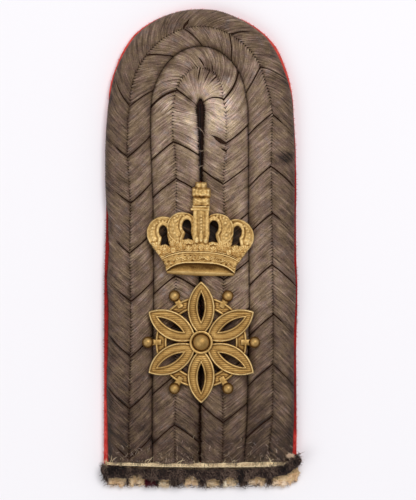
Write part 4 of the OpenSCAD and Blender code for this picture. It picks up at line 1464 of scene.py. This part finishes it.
def make_wool(material):
    """Dark wool overcast over the sewn end, matted and fuzzy, with a loose tail on the right."""
    heap = Heap("tone", "stain")
    for add_part in (wool_body, wool_winding, wool_locks, wool_ends):
        add_part(heap)
    heap.build("wool_yarn", material, "wool_overcast")


# Light, floor and camera

# The photo's size, the strap's middle in it and the millimetres in one of its pixels
IMAGE = (416, 500)
STRAP_MIDDLE = (200, 248)
PIXEL = 0.255


def make_floor():
    """The white surface under the strap."""
    half = 1.5
    corners = [(-half, -half, 0), (half, -half, 0), (half, half, 0), (-half, half, 0)]
    mesh = bpy.data.meshes.new("floor")
    mesh.from_pydata(corners, [], [(0, 1, 2, 3)])
    white = (0.9, 0.885, 0.915, 1)
    mesh.materials.append(Surface("floor", Base_Color=white, Roughness=0.9, Specular_IOR_Level=0.1).material)
    floor = bpy.data.objects.new("floor", mesh)
    bpy.context.scene.collection.objects.link(floor)


def area_light(name, place, size, power):
    """A rectangular light that faces the strap's middle."""
    data = bpy.data.lights.new(name, "AREA")
    data.shape = "RECTANGLE"
    data.size, data.size_y = size
    data.energy = power
    light = bpy.data.objects.new(name, data)
    light.location = place
    light.rotation_euler = (-Vector(place)).to_track_quat("-Z", "Y").to_euler()
    bpy.context.scene.collection.objects.link(light)


def make_lights():
    """A key light from the upper right, a weaker fill from the left and a pale sky."""
    world = bpy.data.worlds.new("studio")
    bpy.context.scene.world = world
    world.use_nodes = True
    background = world.node_tree.nodes["Background"]
    background.inputs["Color"].default_value = (1, 0.99, 1, 1)
    background.inputs["Strength"].default_value = 0.5
    area_light("key", (0.24, 0.38, 0.85), (0.45, 0.3), 4.6)
    area_light("fill", (-0.5, -0.3, 0.7), (0.5, 0.5), 1.8)


def make_camera():
    """The camera straight above, with the photo's scale at the level of the braid."""
    distance = 0.9
    braid_level = 0.004
    data = bpy.data.cameras.new("camera")
    data.sensor_width = 36
    data.lens = data.sensor_width * (distance - braid_level) / (IMAGE[1] * PIXEL * MM)
    camera = bpy.data.objects.new("camera", data)
    x = (IMAGE[0] / 2 - STRAP_MIDDLE[0]) * PIXEL * MM
    y = (STRAP_MIDDLE[1] - IMAGE[1] / 2) * PIXEL * MM
    camera.location = (x, y, distance)
    bpy.context.scene.collection.objects.link(camera)
    bpy.context.scene.camera = camera
    bpy.context.scene.view_settings.view_transform = "Standard"


braid = braid_material()
padding_and_shade = padding_and_shade_material()
make_braid("outer_braid", outer_spine, outer_halves, OUTER_SEAMS, braid)
make_braid("inner_braid", inner_spine, inner_halves, INNER_SEAMS, braid, SLIT_HAIRS)
make_padding_and_shade("outer_braid", (outer_edge, groove), outer_spine, groove, padding_and_shade)
make_padding_and_shade("inner_braid", (groove, slit_edge), inner_spine, slit_flange, padding_and_shade)
make_felt(felt_material("red_felt", (96, 14, 14), (172, 32, 30), (238, 96, 84)))
make_binding(thread_material("dark_thread", (14, 6, 5), (56, 33, 27)))
make_tape(thread_material("cotton_tape", (156, 126, 90), (255, 234, 192), 1.0))
make_tufts(felt_material("undyed_felt", (118, 86, 54), (218, 186, 140), (252, 238, 212), (222, 142, 98)))
make_wool(felt_material("dark_wool", (12, 7, 8), (56, 41, 37), (144, 120, 104), (88, 14, 30), 0.05))
make_crown(brass_material("crown_brass", 0.54, 0))
make_ornament(brass_material("ornament_brass", 0.42, 0.2))
make_floor()
make_lights()
make_camera()
